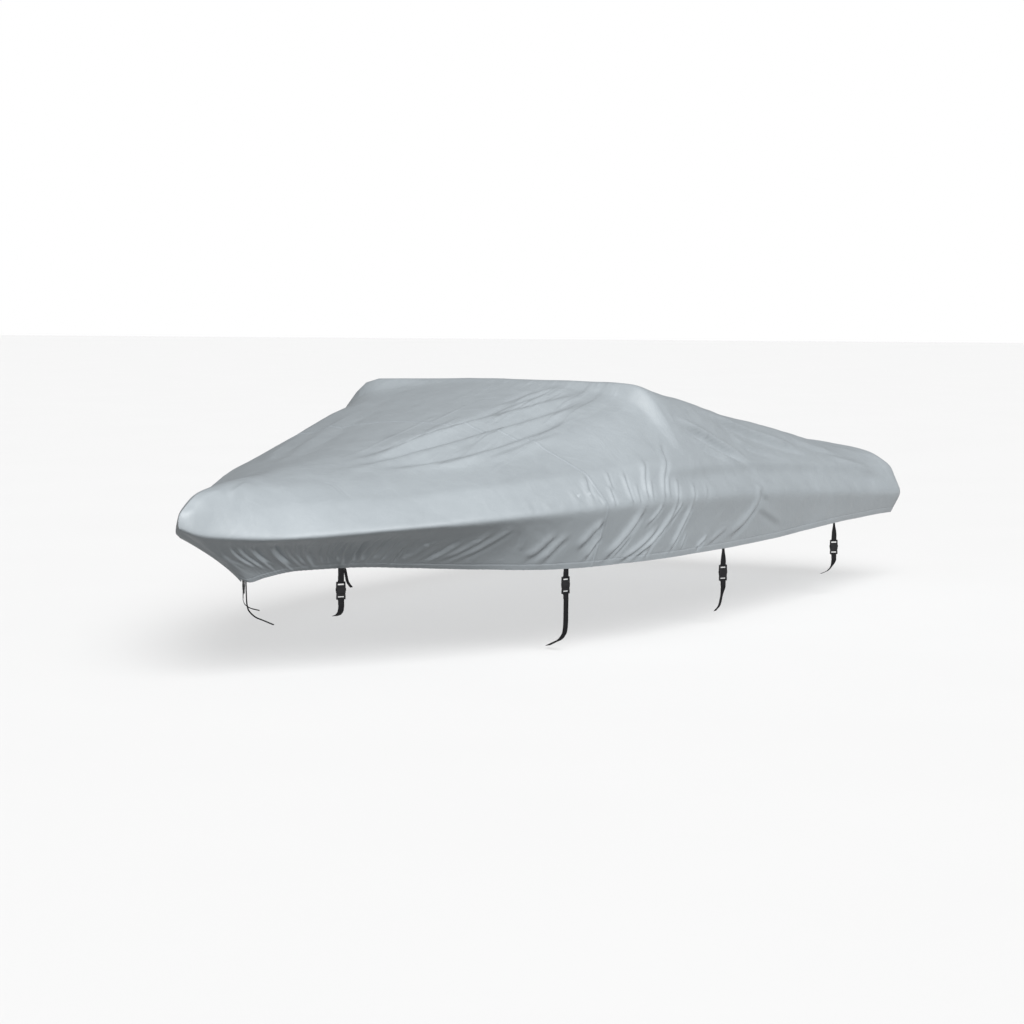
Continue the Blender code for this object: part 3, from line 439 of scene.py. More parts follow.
def cover_relief(points, props):
    """Height of every fold and swell over the plain cover at the given points."""
    elevation, plan, behind = points[:, [0, 2]], points[:, [0, 1]], points[:, [1, 2]]
    port, starboard = points[:, 1] < -NEAR_CENTRE, points[:, 1] > NEAR_CENTRE
    shift = [STARBOARD_SHIFT, 0.0]
    side_folds = list(SIDE_FOLDS) + bow_gathers()
    height = np.zeros(len(points))
    height[port] = fold_height(elevation[port], side_folds, -1)
    height[starboard] = STARBOARD_SHARE * fold_height(elevation[starboard] - shift, side_folds, -1)
    height *= np.clip((np.abs(points[:, 1]) - NEAR_CENTRE) / CENTRE_FADE, 0.0, 1.0)
    on_top = points[:, 2] > KNUCKLE_LEVEL
    height[on_top] += fold_height(plan[on_top], DECK_FOLDS, 1)
    mirrored = plan[on_top] * [1.0, -1.0] - shift
    height[on_top] += STARBOARD_SHARE * fold_height(mirrored, DECK_FOLDS[STARBOARD_DECK], 1)
    at_stern = points[:, 0] > STERN_X
    half = behind[at_stern]
    half[:, 0] = np.abs(half[:, 0])
    height[at_stern] += fold_height(half, STERN_FOLDS, -1)
    height += slack(points, props)
    for strap in STRAPS.values():
        beside = (points[:, 0] - strap["x"]) / STRAP_CALM
        above = np.maximum(points[:, 2] - HEM_LEVEL, 0.0) / STRAP_CALM
        height *= 1.0 - np.exp(-beside ** 2 - above ** 2)
    return height * props.fold_depth


# ---- cloth ----

def rib_places():
    """Where the ribs stand along the edge, and the number of the one at the cross seam."""
    places = [0.0]
    for start, end, count in RIB_STRETCHES:
        places += list(np.linspace(start, end, count + 1)[1:])
    seam = along_at_hem(SEAM_X)
    beside = [along_at_hem(SEAM_X + step) for step in SEAM_RIBS]
    places = [p for p in places if not seam - SEAM_CLEAR < p < beside[-1] + SEAM_CLEAR]
    places = sorted(places + [seam] + beside)
    return places, places.index(seam)


def row_count(side):
    """How many rows of points a rib of this side has."""
    return len(HEM_ROWS) + sum(UPPER_ROWS[side])


def zipped(left, right, rise):
    """Triangles between two columns of points that stand at different rises, each given as a
    quad whose last corner is doubled."""
    i, j, faces = 0, 0, []
    while i < len(left) - 1 or j < len(right) - 1:
        if j == len(right) - 1 or (i < len(left) - 1 and rise[left[i + 1]] <= rise[right[j + 1]]):
            faces.append([left[i], right[j], left[i + 1], left[i + 1]])
            i += 1
        else:
            faces.append([left[i], right[j], right[j + 1], right[j + 1]])
            j += 1
    return faces


def cover_grid():
    """The plain cover as points, quads with their rib, distances from the hem and along the
    edge at each point, the point at each (side, rib, row), the ribs' places and the seam's rib.
    Starboard shares port's points on the centre line and, at stem and stern, on the hem."""
    places, seam = rib_places()
    last = len(places) - 1
    points, from_hem, along_edge, index, quads = [], [], [], {}, []
    for _name, side in SIDES:
        spine = row_count(side) - 1
        for rib, along in enumerate(places):
            for row, (point, rise) in enumerate(zip(*rib_section(along, side))):
                if side > 0 and row == spine:
                    index[(side, rib, row)] = index[(-1, rib, row_count(-1) - 1)]
                elif side > 0 and rib in (0, last):
                    if row < len(HEM_ROWS):
                        index[(side, rib, row)] = index[(-1, rib, row)]
                else:
                    index[(side, rib, row)] = len(points)
                    points.append(point)
                    from_hem.append(rise)
                    along_edge.append(along)
        for rib in range(last):
            if side > 0 and rib in (0, last - 1):
                hands = [-1 if at in (0, last) else 1 for at in (rib, rib + 1)]
                columns = [[index[(hand, at, row)] for row in range(row_count(hand))]
                           for hand, at in zip(hands, (rib, rib + 1))]
                quads += [(rib, corners[::-1]) for corners in zipped(*columns, from_hem)]
                continue
            for row in range(spine):
                corners = [(rib, row), (rib + 1, row), (rib + 1, row + 1), (rib, row + 1)]
                quads.append((rib, [index[(side, *corner)] for corner in corners[::-side]]))
    return (np.array(points), quads, np.array(from_hem), np.array(along_edge), index,
            places, seam)


def surface_normals(points, quads):
    """Outward unit normals at the points."""
    corners = np.array([corners for _rib, corners in quads])
    normal = np.cross(points[corners[:, 2]] - points[corners[:, 0]],
                      points[corners[:, 3]] - points[corners[:, 1]])
    normals = np.zeros_like(points)
    for k in range(4):
        np.add.at(normals, corners[:, k], normal)
    return normals / np.linalg.norm(normals, axis=1)[:, None]


def hem_relief(from_hem, along_edge, props):
    """The turned-up hem: a step at its top, pulled in along the stitches, with small puckers."""
    depth = props.hem_depth
    pulled = -HEM_PULL * np.exp(-((from_hem - depth) / HEM_PULL_WIDTH) ** 2)
    puckers = HEM_PUCKER * np.sin(along_edge * props.hem_puckers) * np.exp(-from_hem / depth)
    return pulled + puckers + HEM_STEP * (from_hem < depth)


def seam_relief(count, index, seam):
    """The felled seam: a flat raised band aft of the joint."""
    lift = np.zeros(count)
    for _name, side in SIDES:
        for row in range(row_count(side)):
            for step, height in enumerate(SEAM_LIFTS):
                lift[index[(side, seam + step, row)]] = height
    return lift


class Cover:
    """The dressed surface of the cover, worked out once and shared by the operators."""

    def __init__(self, props):
        (plain, self.quads, self.from_hem, self.along_edge, self.index, self.places,
         self.seam) = cover_grid()
        height = cover_relief(plain, props)
        height += hem_relief(self.from_hem, self.along_edge, props)
        height += seam_relief(len(plain), self.index, self.seam)
        self.points = plain + surface_normals(plain, self.quads) * height[:, None]
        self.normals = surface_normals(self.points, self.quads)

    def line(self, side, ribs, rows):
        """Points and outward normals along these ribs and rows of one side."""
        at = [self.index[(side, rib, row)] for rib in ribs for row in rows]
        return self.points[at], self.normals[at]


def make_active(piece=None):
    """Only this piece selected and active, or nothing selected."""
    if bpy.context.object and bpy.context.object.mode != "OBJECT":
        bpy.ops.object.mode_set(mode="OBJECT")
    bpy.ops.object.select_all(action="DESELECT")
    if piece:
        piece.select_set(True)
        bpy.context.view_layer.objects.active = piece


def mesh_piece(name, vertices, faces):
    """Object at the origin that holds the mesh."""
    mesh = bpy.data.meshes.new(name)
    mesh.from_pydata([tuple(v) for v in vertices], [], faces)
    mesh.update()
    piece = bpy.data.objects.new(name, mesh)
    bpy.context.scene.collection.objects.link(piece)
    return piece


def finish_piece(piece, material):
    """Give a finished piece its material and slot, and let it ride on the object's one body."""
    piece.data.materials.append(material)
    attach(piece, "root")


def modify(piece, kind, **settings):
    """Add and apply a modifier with these settings."""
    make_active(piece)
    modifier = piece.modifiers.new(kind.lower(), kind)
    for key, value in settings.items():
        setattr(modifier, key, value)
    bpy.ops.object.modifier_apply(modifier=modifier.name)


def panel_piece(name, cover, mine, shift, props):
    """One cloth panel with its turned hem, as a thin closed sheet."""
    used = sorted({corner for corners in mine for corner in corners})
    number = {old: new for new, old in enumerate(used)}
    points = cover.points[used]
    on_seam = {cover.index[(side, cover.seam, row)]
               for _name, side in SIDES for row in range(row_count(side))}
    points[[number[old] for old in on_seam], 0] += shift
    faces = [[number[k] for k in dict.fromkeys(corners)] for corners in mine]
    piece = mesh_piece(name, points, faces)
    rises = cover.from_hem[used]
    loops = np.empty(len(piece.data.loops), np.int32)
    piece.data.loops.foreach_get("vertex_index", loops)
    spread_out = np.column_stack([cover.along_edge[used] * props.edge_length, rises])
    weave = piece.data.uv_layers.new(name="weave")
    weave.data.foreach_set("uv", spread_out[loops].ravel())
    turned = np.flatnonzero(rises < props.hem_depth).tolist()
    piece.vertex_groups.new(name="hem").add(turned, 1.0, "REPLACE")
    modify(piece, "SOLIDIFY", thickness=props.thickness * 2, offset=-1.0, vertex_group="hem",
           thickness_vertex_group=0.5)
    bpy.ops.object.shade_smooth_by_angle(angle=math.radians(CLOTH_CREASE))
    return piece


# ---- stitching ----

STITCH_FLAT = 0.7  # thickness of the pressed thread, as a share of its width
STITCH_DIVE = 1.1  # how deep a stitch's ends dive, in radii of the thread
STITCH_PROUD = 0.35  # how far it stands out of the cloth, in radii


def stitch_shape(length, radius):
    """One stitch: a short flattened thread that dives at both ends, along +X and proud in +Z."""
    make_active()
    bpy.ops.mesh.primitive_cylinder_add(vertices=6, radius=radius, depth=length,
                                        rotation=(0.0, math.pi / 2, 0.0))
    stitch = bpy.context.object
    bpy.ops.object.transform_apply(location=True, rotation=True, scale=True)
    bpy.ops.object.mode_set(mode="EDIT")
    bpy.ops.mesh.select_all(action="SELECT")
    bpy.ops.mesh.bisect(plane_co=(0.0, 0.0, 0.0), plane_no=(1.0, 0.0, 0.0))
    bpy.ops.object.mode_set(mode="OBJECT")
    points = [vertex.co.copy() for vertex in stitch.data.vertices]
    faces = [list(face.vertices) for face in stitch.data.polygons]
    for point in points:
        end = min(1.0, abs(point.x) * 2.0 / length)
        point.z = point.z * STITCH_FLAT - radius * STITCH_DIVE * end ** 2
    bpy.data.objects.remove(stitch)
    return np.array(points), faces


def stitch_runs(name, runs, length, pitch, radius):
    """A row of like stitches along each run of points and outward normals, as one piece."""
    shape, faces = stitch_shape(length, radius)
    vertices, all_faces = [], []
    for points, normals in runs:
        travelled = travelled_along(points)
        count = max(1, int(travelled[-1] / pitch))
        at = (np.arange(count) + 0.5) * travelled[-1] / count
        centres, ups = points_at(points, travelled, at), points_at(normals, travelled, at)
        heads = points_at(points, travelled, np.minimum(at + length / 2, travelled[-1]))
        tails = points_at(points, travelled, np.maximum(at - length / 2, 0.0))
        for centre, head, tail, up in zip(centres, heads, tails, ups):
            run = (head - tail) / np.linalg.norm(head - tail)
            up = up - run * (up @ run)
            up /= np.linalg.norm(up)
            base = len(vertices)
            vertices.extend(centre + up * radius * STITCH_PROUD
                            + shape @ np.array([run, np.cross(up, run), up]))
            all_faces.extend([base + k for k in face] for face in faces)
    piece = mesh_piece(name, vertices, all_faces)
    make_active(piece)
    bpy.ops.object.shade_smooth()
    return piece


# ---- straps ----

def eased(share):
    """The share, clipped to 0..1 and eased in and out."""
    share = min(1.0, max(0.0, share))
    return share * share * (3.0 - 2.0 * share)


class StrapFrame:
    """Where a strap hangs, read from its buckle's and its webbing's solids."""

    def __init__(self, name, side, strap, props):
        socket, webbing = (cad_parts[f"{name}_{part}"].data.vertices
                           for part in ("socket", "webbing"))
        low, high = (np.array(corner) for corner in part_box(f"{name}_socket"))
        flat = np.array([vertex.co[:2] for vertex in socket])
        flat -= flat.mean(axis=0)
        facing = np.linalg.eigh(flat.T @ flat)[1][:, 0]
        facing *= math.copysign(1.0, facing[1] * side)
        self.facing = Vector((*facing, 0.0))
        self.turn = math.radians(strap["turn"]) * side
        self.drop = strap["drop"]
        self.outward = Matrix.Rotation(-self.turn, 3, "Z") @ self.facing
        self.across = self.outward.cross(UP)
        self.seat = props.web_thickness / 2 + HEM_CLEAR
        self.loop = BAR_RADIUS + WEB_CLEAR + props.web_thickness / 2
        self.doubled = props.web_thickness + WEB_CLEAR
        self.socket_bar = -strap["drop"] - BAR_SINK
        bar = Vector((*(low + high)[:2] / 2, high[2] - CHEEK_TOP))
        self.place = bar + self.facing * (self.seat + self.loop) - UP * self.socket_bar
        highest = max(vertex.co.z for vertex in webbing)
        top = [vertex.co for vertex in webbing if vertex.co.z > highest - WEB_TOP]
        reach = sum(top, Vector()) / len(top) - self.place
        lean = math.atan2(reach.z, reach.dot(self.outward)) - math.atan2(self.seat, SEWN_IN)
        self.slope = np.array([math.cos(lean), math.sin(lean)])

    def point(self, out, up):
        """The point in the object's frame at this place in the strap's upright plane."""
        return self.place + self.outward * float(out) + UP * float(up)

    def turned(self, spot):
        """The spot turned about the hanging line, as far as the webbing is turned there."""
        up = spot.z - self.place.z
        tail_start = self.socket_bar - PLUG_BAR_DROP - FOLD_BACK
        share = eased((-up - TURN_START) / (TURN_SHARE * self.drop - TURN_START))
        share *= 1.0 - eased((tail_start - up) / TURN_BACK)
        return self.place + Matrix.Rotation(self.turn * share, 3, "Z") @ (spot - self.place)

    def around_bar(self, up, start, end, steps=12):
        """Points of webbing around a bar that stands behind the strap."""
        angles = np.radians(np.linspace(start, end, steps + 1))
        return [(self.loop * (math.cos(a) - 1.0) - self.seat, up + self.loop * math.sin(a))
                for a in angles]


def sewn_in_path(stand, drop):
    """Path of the webbing: up behind the hem, and down around the socket's bar and back."""
    seat, slope, bar = stand.seat, stand.slope, stand.socket_bar
    inside = np.array([-slope[1], slope[0]]) * seat
    path = [tuple(inside + slope * SEWN_IN * share) for share in (1.0, 0.75, 0.5, 0.25)]
    path += [(-seat, seat * (1.0 - slope[1]) / slope[0])]
    path += [(-seat, -drop * share) for share in np.linspace(0.1, 0.9, 9)]
    path += stand.around_bar(bar, 0.0, -180.0)
    fold = min(FOLD_BACK, drop - FOLD_CLEAR)
    path += [(-2 * stand.loop - seat, bar + OFF_BAR), (-stand.doubled - seat, bar + LAID_FLAT)]
    return path + [(-stand.doubled - seat, bar + LAID_FLAT + (fold - LAID_FLAT) * share)
                   for share in (0.5, 1.0)]


def loose_tail_path(stand, steps):
    """Path of the loose end: around the plug's bar, then down along the hull's side."""
    seat, bar = stand.seat, stand.socket_bar - PLUG_BAR_DROP
    path = [(-stand.doubled - seat, bar - down) for down in (FOLD_BACK, TAIL_DOUBLED, LAID_FLAT)]
    path += [(-2 * stand.loop - seat, bar - OFF_BAR)] + stand.around_bar(bar, 180.0, 0.0)
    path += [(-seat, bar - down) for down in TAIL_FRONT]
    start = bar - FOLD_BACK - TAIL_START
    controls = np.array([(-seat, start)] + [(-seat - keel, start - down) for keel, down in steps])
    knots = np.arange(len(controls), dtype=float)
    finer = np.linspace(0.0, knots[-1], TAIL_STEPS * len(steps) + 1)
    return path + list(zip(*(smooth_through(knots, values, finer) for values in controls.T)))


def webbing_piece(name, stand, path, props):
    """Flat webbing: a strip extruded step by step along its path, then thickened and turned."""
    points = [stand.point(out, up) for out, up in path]
    half = props.web_width / 2
    make_active()
    bpy.ops.mesh.primitive_plane_add(size=1.0, location=(0.0, 0.0, 0.0))
    strip = bpy.context.object
    strip.name = strip.data.name = name
    ends = [], []
    for vertex in strip.data.vertices:
        end = int(vertex.co.y > 0)
        ends[end].append(vertex.index)
        vertex.co = points[end] + stand.across * math.copysign(half, vertex.co.x)
    bpy.ops.object.mode_set(mode="EDIT")
    bpy.ops.mesh.select_mode(type="VERT")
    bpy.ops.mesh.select_all(action="DESELECT")
    cage = bmesh.from_edit_mesh(strip.data)
    for vertex in cage.verts:
        vertex.select_set(vertex.index in ends[1])
    cage.select_flush_mode()
    bmesh.update_edit_mesh(strip.data)
    for before, after in zip(points[1:], points[2:]):
        bpy.ops.mesh.extrude_region_move(
            TRANSFORM_OT_translate={"value": after - before, "orient_type": "GLOBAL"})
    bpy.ops.mesh.select_all(action="SELECT")
    bpy.ops.mesh.normals_make_consistent(inside=False)
    bpy.ops.object.mode_set(mode="OBJECT")
    strip_uv(strip, points, stand.across)
    modify(strip, "SOLIDIFY", thickness=props.web_thickness, offset=0.0, use_even_offset=True)
    modify(strip, "BEVEL", width=props.web_thickness * WEB_ROUNDING, segments=2,
           limit_method="ANGLE", angle_limit=math.radians(WEB_EDGE))
    for vertex in strip.data.vertices:
        vertex.co = stand.turned(vertex.co)
    bpy.ops.object.shade_smooth_by_angle(angle=math.radians(WEB_CREASE))
    return strip


def strip_uv(strip, points, across):
    """A weave map in metres: across the webbing, and along it."""
    travelled = travelled_along(np.array([tuple(p) for p in points]))
    weave = strip.data.uv_layers.active or strip.data.uv_layers.new(name="weave")
    weave.name = "weave"
    for loop in strip.data.loops:
        place = strip.data.vertices[loop.vertex_index].co
        nearest = min(range(len(points)),
                      key=lambda k: (place - points[k]).cross(across).length)
        weave.data[loop.index].uv = ((place - points[nearest]).dot(across), travelled[nearest])


# ---- materials ----

# Streaks in the fore deck's cloth
STREAK_TURN = math.radians(14.0)
STREAK_SCALE = (0.9, 15.0, 6.0)
STREAK_HEIGHT = 0.004
# Axis, where they have died out along it, and where they are full
STREAK_BOUNDS = (("X", 0.10, -0.20), ("X", -1.60, -1.10), ("Y", 0.04, -0.14), ("Y", -0.72, -0.58),
                 ("Z", -0.36, -0.26))


class Nodes:
    """The nodes of one material, and short ways to add and join them."""

    def __init__(self, name, roughness, specular=0.5):
        self.material = bpy.data.materials.new(name)
        self.material.use_nodes = True
        self.tree = self.material.node_tree
        self.join(Roughness=roughness, Specular_IOR_Level=specular)
        maps = self.tree.nodes.new("ShaderNodeTexCoord").outputs
        self.place, self.weave_map = maps["Object"], maps["UV"]

    def fill(self, node, inputs):
        """Each of these inputs of the node joined to a socket, or given a value."""
        for key, value in inputs.items():
            if isinstance(value, bpy.types.NodeSocket):
                self.tree.links.new(value, node.inputs[key])
            else:
                node.inputs[key].default_value = value

    def join(self, **inputs):
        """The material, with these inputs of its shader, named with _ for a space."""
        self.fill(self.tree.nodes["Principled BSDF"],
                  {key.replace("_", " "): value for key, value in inputs.items()})
        return self.material

    def add(self, kind, inputs, output=0, **settings):
        """An output of a new node with these settings and inputs."""
        node = self.tree.nodes.new(kind)
        for key, value in settings.items():
            setattr(node, key, value)
        self.fill(node, inputs)
        return node.outputs[output]

    def noise(self, scale, detail, roughness=0.5, distortion=0.0, place=None):
        """Value of a noise texture."""
        return self.add("ShaderNodeTexNoise", {
            "Vector": self.place if place is None else place, "Scale": scale, "Detail": detail,
            "Roughness": roughness, "Distortion": distortion}, "Fac")

    def spread(self, value, low=0.0, high=1.0, from_low=0.3, from_high=0.7):
        """The value between from_low and from_high, spread over low to high."""
        return self.add("ShaderNodeMapRange", {
            "Value": value, "From Min": from_low, "From Max": from_high,
            "To Min": low, "To Max": high}, "Result")

    def times(self, first, second):
        """Product of two values."""
        return self.add("ShaderNodeMath", {0: first, 1: second}, operation="MULTIPLY")

    def mixed(self, share, first, second):
        """Two colours mixed by a share."""
        return self.add("ShaderNodeMix", {0: share, 6: first, 7: second}, 2, data_type="RGBA")

    def tones(self, share, colour, low, high):
        """A darker and a lighter tone of the colour mixed by a share."""
        return self.mixed(share, shade(colour, low), shade(colour, high))

    def woven(self, across, along):
        """Height of a weave of these periods over the piece's weave map."""
        waves = [self.add("ShaderNodeTexWave", {
            "Vector": self.weave_map, "Scale": math.pi / (10 * period), "Distortion": 0.0},
            "Fac", bands_direction=axis) for axis, period in (("X", across), ("Y", along))]
        return self.times(*waves)

    def bump(self, height, distance, strength=1.0, under=None):
        """Bump of this height over another."""
        inputs = {"Height": height, "Distance": distance, "Strength": strength}
        if under is not None:
            inputs["Normal"] = under
        return self.add("ShaderNodeBump", inputs, "Normal")


def shade(colour, factor):
    """The colour made lighter or darker, with its alpha."""
    return (*(min(1.0, channel * factor) for channel in colour[:3]), 1.0)


def deck_streaks(nodes):
    """Height of the fine streaks along which the fore deck's cloth is pulled to the windscreen."""
    along_pull = nodes.add("ShaderNodeMapping", {
        "Vector": nodes.place, "Rotation": (0.0, 0.0, STREAK_TURN), "Scale": STREAK_SCALE})
    streaks = nodes.spread(nodes.noise(1.0, 2.0, 0.45, 0.3, along_pull), 0.0, 1.0, 0.48, 0.66)
    spot = nodes.add("ShaderNodeSeparateXYZ", {"Vector": nodes.place}).node.outputs
    for axis, none_at, full_at in STREAK_BOUNDS:
        streaks = nodes.times(streaks, nodes.spread(spot[axis], 0.0, 1.0, none_at, full_at))
    return streaks


def coated_cloth(props):
    """Blue-grey coated polyester: satin, finely woven, a little uneven in tone and crease."""
    nodes = Nodes("grey_coated_cloth", props.roughness)
    clouds, rub = nodes.noise(1.7, 4.0, 0.55), nodes.noise(14.0, 5.0, 0.6, 0.4)
    tone = nodes.tones(nodes.spread(clouds), props.colour, 0.955, 1.04)
    tone = nodes.mixed(nodes.spread(rub, 0.0, 0.35), tone, shade(props.colour, 1.09))
    relief = nodes.bump(nodes.noise(7.0, 2.0, 0.5, 1.2), 0.010, props.crease)
    relief = nodes.bump(nodes.noise(22.0, 3.0, 0.5, 0.8), 0.003, props.crease, relief)
    relief = nodes.bump(deck_streaks(nodes), STREAK_HEIGHT, 1.0, relief)
    relief = nodes.bump(nodes.woven(props.weave_period, props.weave_period), 0.00012, 0.6, relief)
    gloss = nodes.spread(rub, props.roughness - 0.05, props.roughness + 0.07)
    return nodes.join(Base_Color=tone, Roughness=gloss, Normal=relief, Sheen_Weight=0.06,
                      Sheen_Roughness=0.4)


def woven_webbing(props):
    """Black polypropylene webbing: coarsely woven, with paler worn places, painted shade in the
    weave's hollows and painted light on its raised threads.
    """
    nodes = Nodes("black_webbing", 0.75, 0.15)
    height = nodes.woven(1.6 * props.rib_period, props.rib_period)
    wear = nodes.spread(nodes.noise(30.0, 4.0, 0.6), 0.0, 0.4, 0.45, 0.8)
    # Tone follows the weave's height: painted shade in its hollows, painted light on its raised
    # threads.
    tone = nodes.tones(height, props.colour, 0.55, 1.5)
    tone = nodes.mixed(wear, tone, shade(props.colour, 2.0))
    relief = nodes.bump(height, 0.0004, 0.9)
    relief = nodes.bump(nodes.noise(420.0, 3.0, 0.6), 0.0001, 0.5, relief)
    return nodes.join(Base_Color=tone, Normal=relief)


def moulded_plastic(props):
    """Black acetal: finely spark-eroded, a little greyer where it has been handled."""
    nodes = Nodes("black_moulded_plastic", 0.5, 0.25)
    handled = nodes.noise(60.0, 4.0, 0.6)
    tone = nodes.tones(nodes.spread(handled, 0.0, 1.0, 0.4, 0.75), props.colour, 0.8, 1.6)
    grain = nodes.bump(nodes.noise(1500.0, 2.0), 0.00006, 0.5)
    return nodes.join(Base_Color=tone, Roughness=nodes.spread(handled, 0.42, 0.58), Normal=grain)


def sewing_thread(props):
    """Polyester thread, twisted, with painted shade in the hollows of its twist."""
    nodes = Nodes("grey_sewing_thread", 0.5)
    twist = nodes.noise(900.0, 2.0)
    # Darker where the twist is low: painted shade in the hollows of the twist.
    tone = nodes.tones(nodes.spread(twist), props.colour, 0.62, 1.0)
    return nodes.join(Base_Color=tone, Normal=nodes.bump(twist, 0.0001, 0.6))


def pale_floor(props):
    """Plain pale floor with the faintest mottle."""
    nodes = Nodes("pale_floor", 0.9, 0.1)
    mottle = nodes.spread(nodes.noise(0.8, 2.0))
    return nodes.join(Base_Color=nodes.tones(mottle, props.floor_colour, 0.99, 1.0))


# ---- settings ----

def setting(kind, **fixed):
    """A way to make settings of one kind from a name, a description and a default."""
    def make(name, description, default, **limits):
        return kind(name=name, description=description, default=default, **{**fixed, **limits})
    return make


a_length = setting(bpy.props.FloatProperty, min=0.0, max=10.0, precision=4, subtype="DISTANCE",
                   unit="LENGTH")
a_colour = setting(bpy.props.FloatVectorProperty, size=3, min=0.0, max=1.0, subtype="COLOR")
a_number = setting(bpy.props.FloatProperty, min=0.0, max=1000.0)


class ClothSettings(bpy.types.PropertyGroup):
    """Sizes and finish of the cloth."""
    thickness: a_length("Thickness", "Thickness of the coated cloth", 0.0011)
    hem_depth: a_length("Hem depth", "Depth of the turned-up hem", 0.0265)
    hem_puckers: a_number("Hem puckers", "How closely the hem puckers along its edge", 900.0)
    edge_length: a_length("Edge length", "Length of the edge from stem to transom", 6.3)
    fold_depth: a_number("Fold depth", "Depth of the folds, 1 as hung", 1.0, max=2.0)
    swell_scale: a_number("Swell scale", "Broad swells in a metre", 2.3)
    swell_height: a_length("Swell height", "Height of the broad swells", 0.006)
    pucker_scale: a_number("Pucker scale", "Fine puckers in a metre", 8.0)
    pucker_height: a_length("Pucker height", "Height of the fine puckers", 0.0022)
    colour: a_colour("Colour", "Colour of the coating", (0.250, 0.275, 0.292))
    roughness: a_number("Roughness", "Roughness of the coating", 0.50, max=1.0)
    crease: a_number("Crease", "Strength of the fine creases", 0.35, max=1.0)
    weave_period: a_length("Weave", "Period of the plain weave", 0.0012)


class StitchSettings(bpy.types.PropertyGroup):
    """Sizes and colour of the sewing."""
    length: a_length("Stitch length", "Length of one stitch", 0.0042)
    pitch: a_length("Stitch pitch", "Distance from stitch to stitch", 0.0056)
    radius: a_length("Thread radius", "Radius of the thread", 0.0005)
    colour: a_colour("Thread colour", "Colour of the thread", (0.30, 0.34, 0.38))


class StrapSettings(bpy.types.PropertyGroup):
    """Sizes and colour of the webbing and its buckles."""
    web_width: a_length("Webbing width", "Width of the webbing", 0.025)
    web_thickness: a_length("Webbing thickness", "Thickness of the webbing", 0.0016)
    rib_period: a_length("Rib period", "Period of the webbing's ribs", 0.0017)
    colour: a_colour("Colour", "Colour of webbing and buckles", (0.007, 0.007, 0.008))


class StageSettings(bpy.types.PropertyGroup):
    """Floor, light and camera."""
    floor_colour: a_colour("Floor colour", "Colour of the floor", (0.67, 0.67, 0.67))
    floor_drop: a_length("Floor drop", "Floor below the lowest strap end", 0.012)
    key_strength: a_number("Key light", "Strength of the soft light from port", 1.8)
    even_strength: a_number("Even light", "Strength of the light that has no shadow", 4.2)
    low_strength: a_number("Low light", "Strength of the low light on the skirt", 0.8)
    sky_strength: a_number("Sky light", "Strength of the even sky", 0.12)
    backdrop: a_number("Backdrop", "Brightness of the backdrop", 1.0)
    view_width: a_number("Field of view", "Camera's field of view in degrees", 23.15)


SETTINGS = {"boat_cover_cloth": ClothSettings, "boat_cover_stitch": StitchSettings,
            "boat_cover_strap": StrapSettings, "boat_cover_stage": StageSettings}
made = {}  # the surface and each strap's frame, for the operators that sew on them


# ---- operators ----

class BOATCOVER_OT_panels(bpy.types.Operator):
    """Make the fore and the aft cloth panel with their turned hem"""
    bl_idname = "boatcover.panels"
    bl_label = "Cloth panels"

    def execute(self, context):
        props = context.scene.boat_cover_cloth
        cover = made["cover"] = Cover(props)
        cloth = coated_cloth(props)
        for name, sign in (("fore_panel", -1), ("aft_panel", 1)):
            mine = [corners for rib, corners in cover.quads if (rib < cover.seam) == (sign < 0)]
            piece = panel_piece(f"{name}_cloth", cover, mine, sign * SEAM_GAP / 2, props)
            finish_piece(piece, cloth)
            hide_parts(name)
        return {"FINISHED"}


class BOATCOVER_OT_stitching(bpy.types.Operator):
    """Sew the hem and the cross seam"""
    bl_idname = "boatcover.stitching"
    bl_label = "Hem and seam stitching"

    def execute(self, context):
        scene, cover = context.scene, made["cover"]
        props = scene.boat_cover_stitch
        thread = sewing_thread(props)
        hem_row = int(np.argmin(np.abs(np.array(HEM_ROWS) - scene.boat_cover_cloth.hem_depth)))
        aft = cover.seam + 1
        runs = {name: [cover.line(side, ribs, [hem_row]) for _name, side in SIDES]
                for name, ribs in (("fore_hem", range(aft)),
                                   ("aft_hem", range(aft, len(cover.places))))}
        runs["cross_seam"] = [cover.line(side, [rib], range(SEAM_FIRST_ROW, row_count(side)))
                              for rib in (aft, aft + 1) for _name, side in SIDES]
        for name, lines in runs.items():
            piece = stitch_runs(f"{name}_stitching", lines, props.length, props.pitch,
                                props.radius)
            finish_piece(piece, thread)
        return {"FINISHED"}


class BOATCOVER_OT_webbing(bpy.types.Operator):
    """Make each hull strap's sewn-in webbing and its loose end"""
    bl_idname = "boatcover.webbing"
    bl_label = "Webbing"

    def execute(self, context):
        props = context.scene.boat_cover_strap
        webbing = woven_webbing(props)
        for hand, side in SIDES:
            for place, strap in STRAPS.items():
                name = f"{hand}_{place}"
                stand = made[name] = StrapFrame(name, side, strap, props)
                for part, path in (("webbing", sewn_in_path(stand, strap["drop"])),
                                   ("tail", loose_tail_path(stand, strap["tail"]))):
                    piece = webbing_piece(f"{name}_woven_{part}", stand, path, props)
                    finish_piece(piece, webbing)
                    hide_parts(f"{name}_{part}")
        return {"FINISHED"}


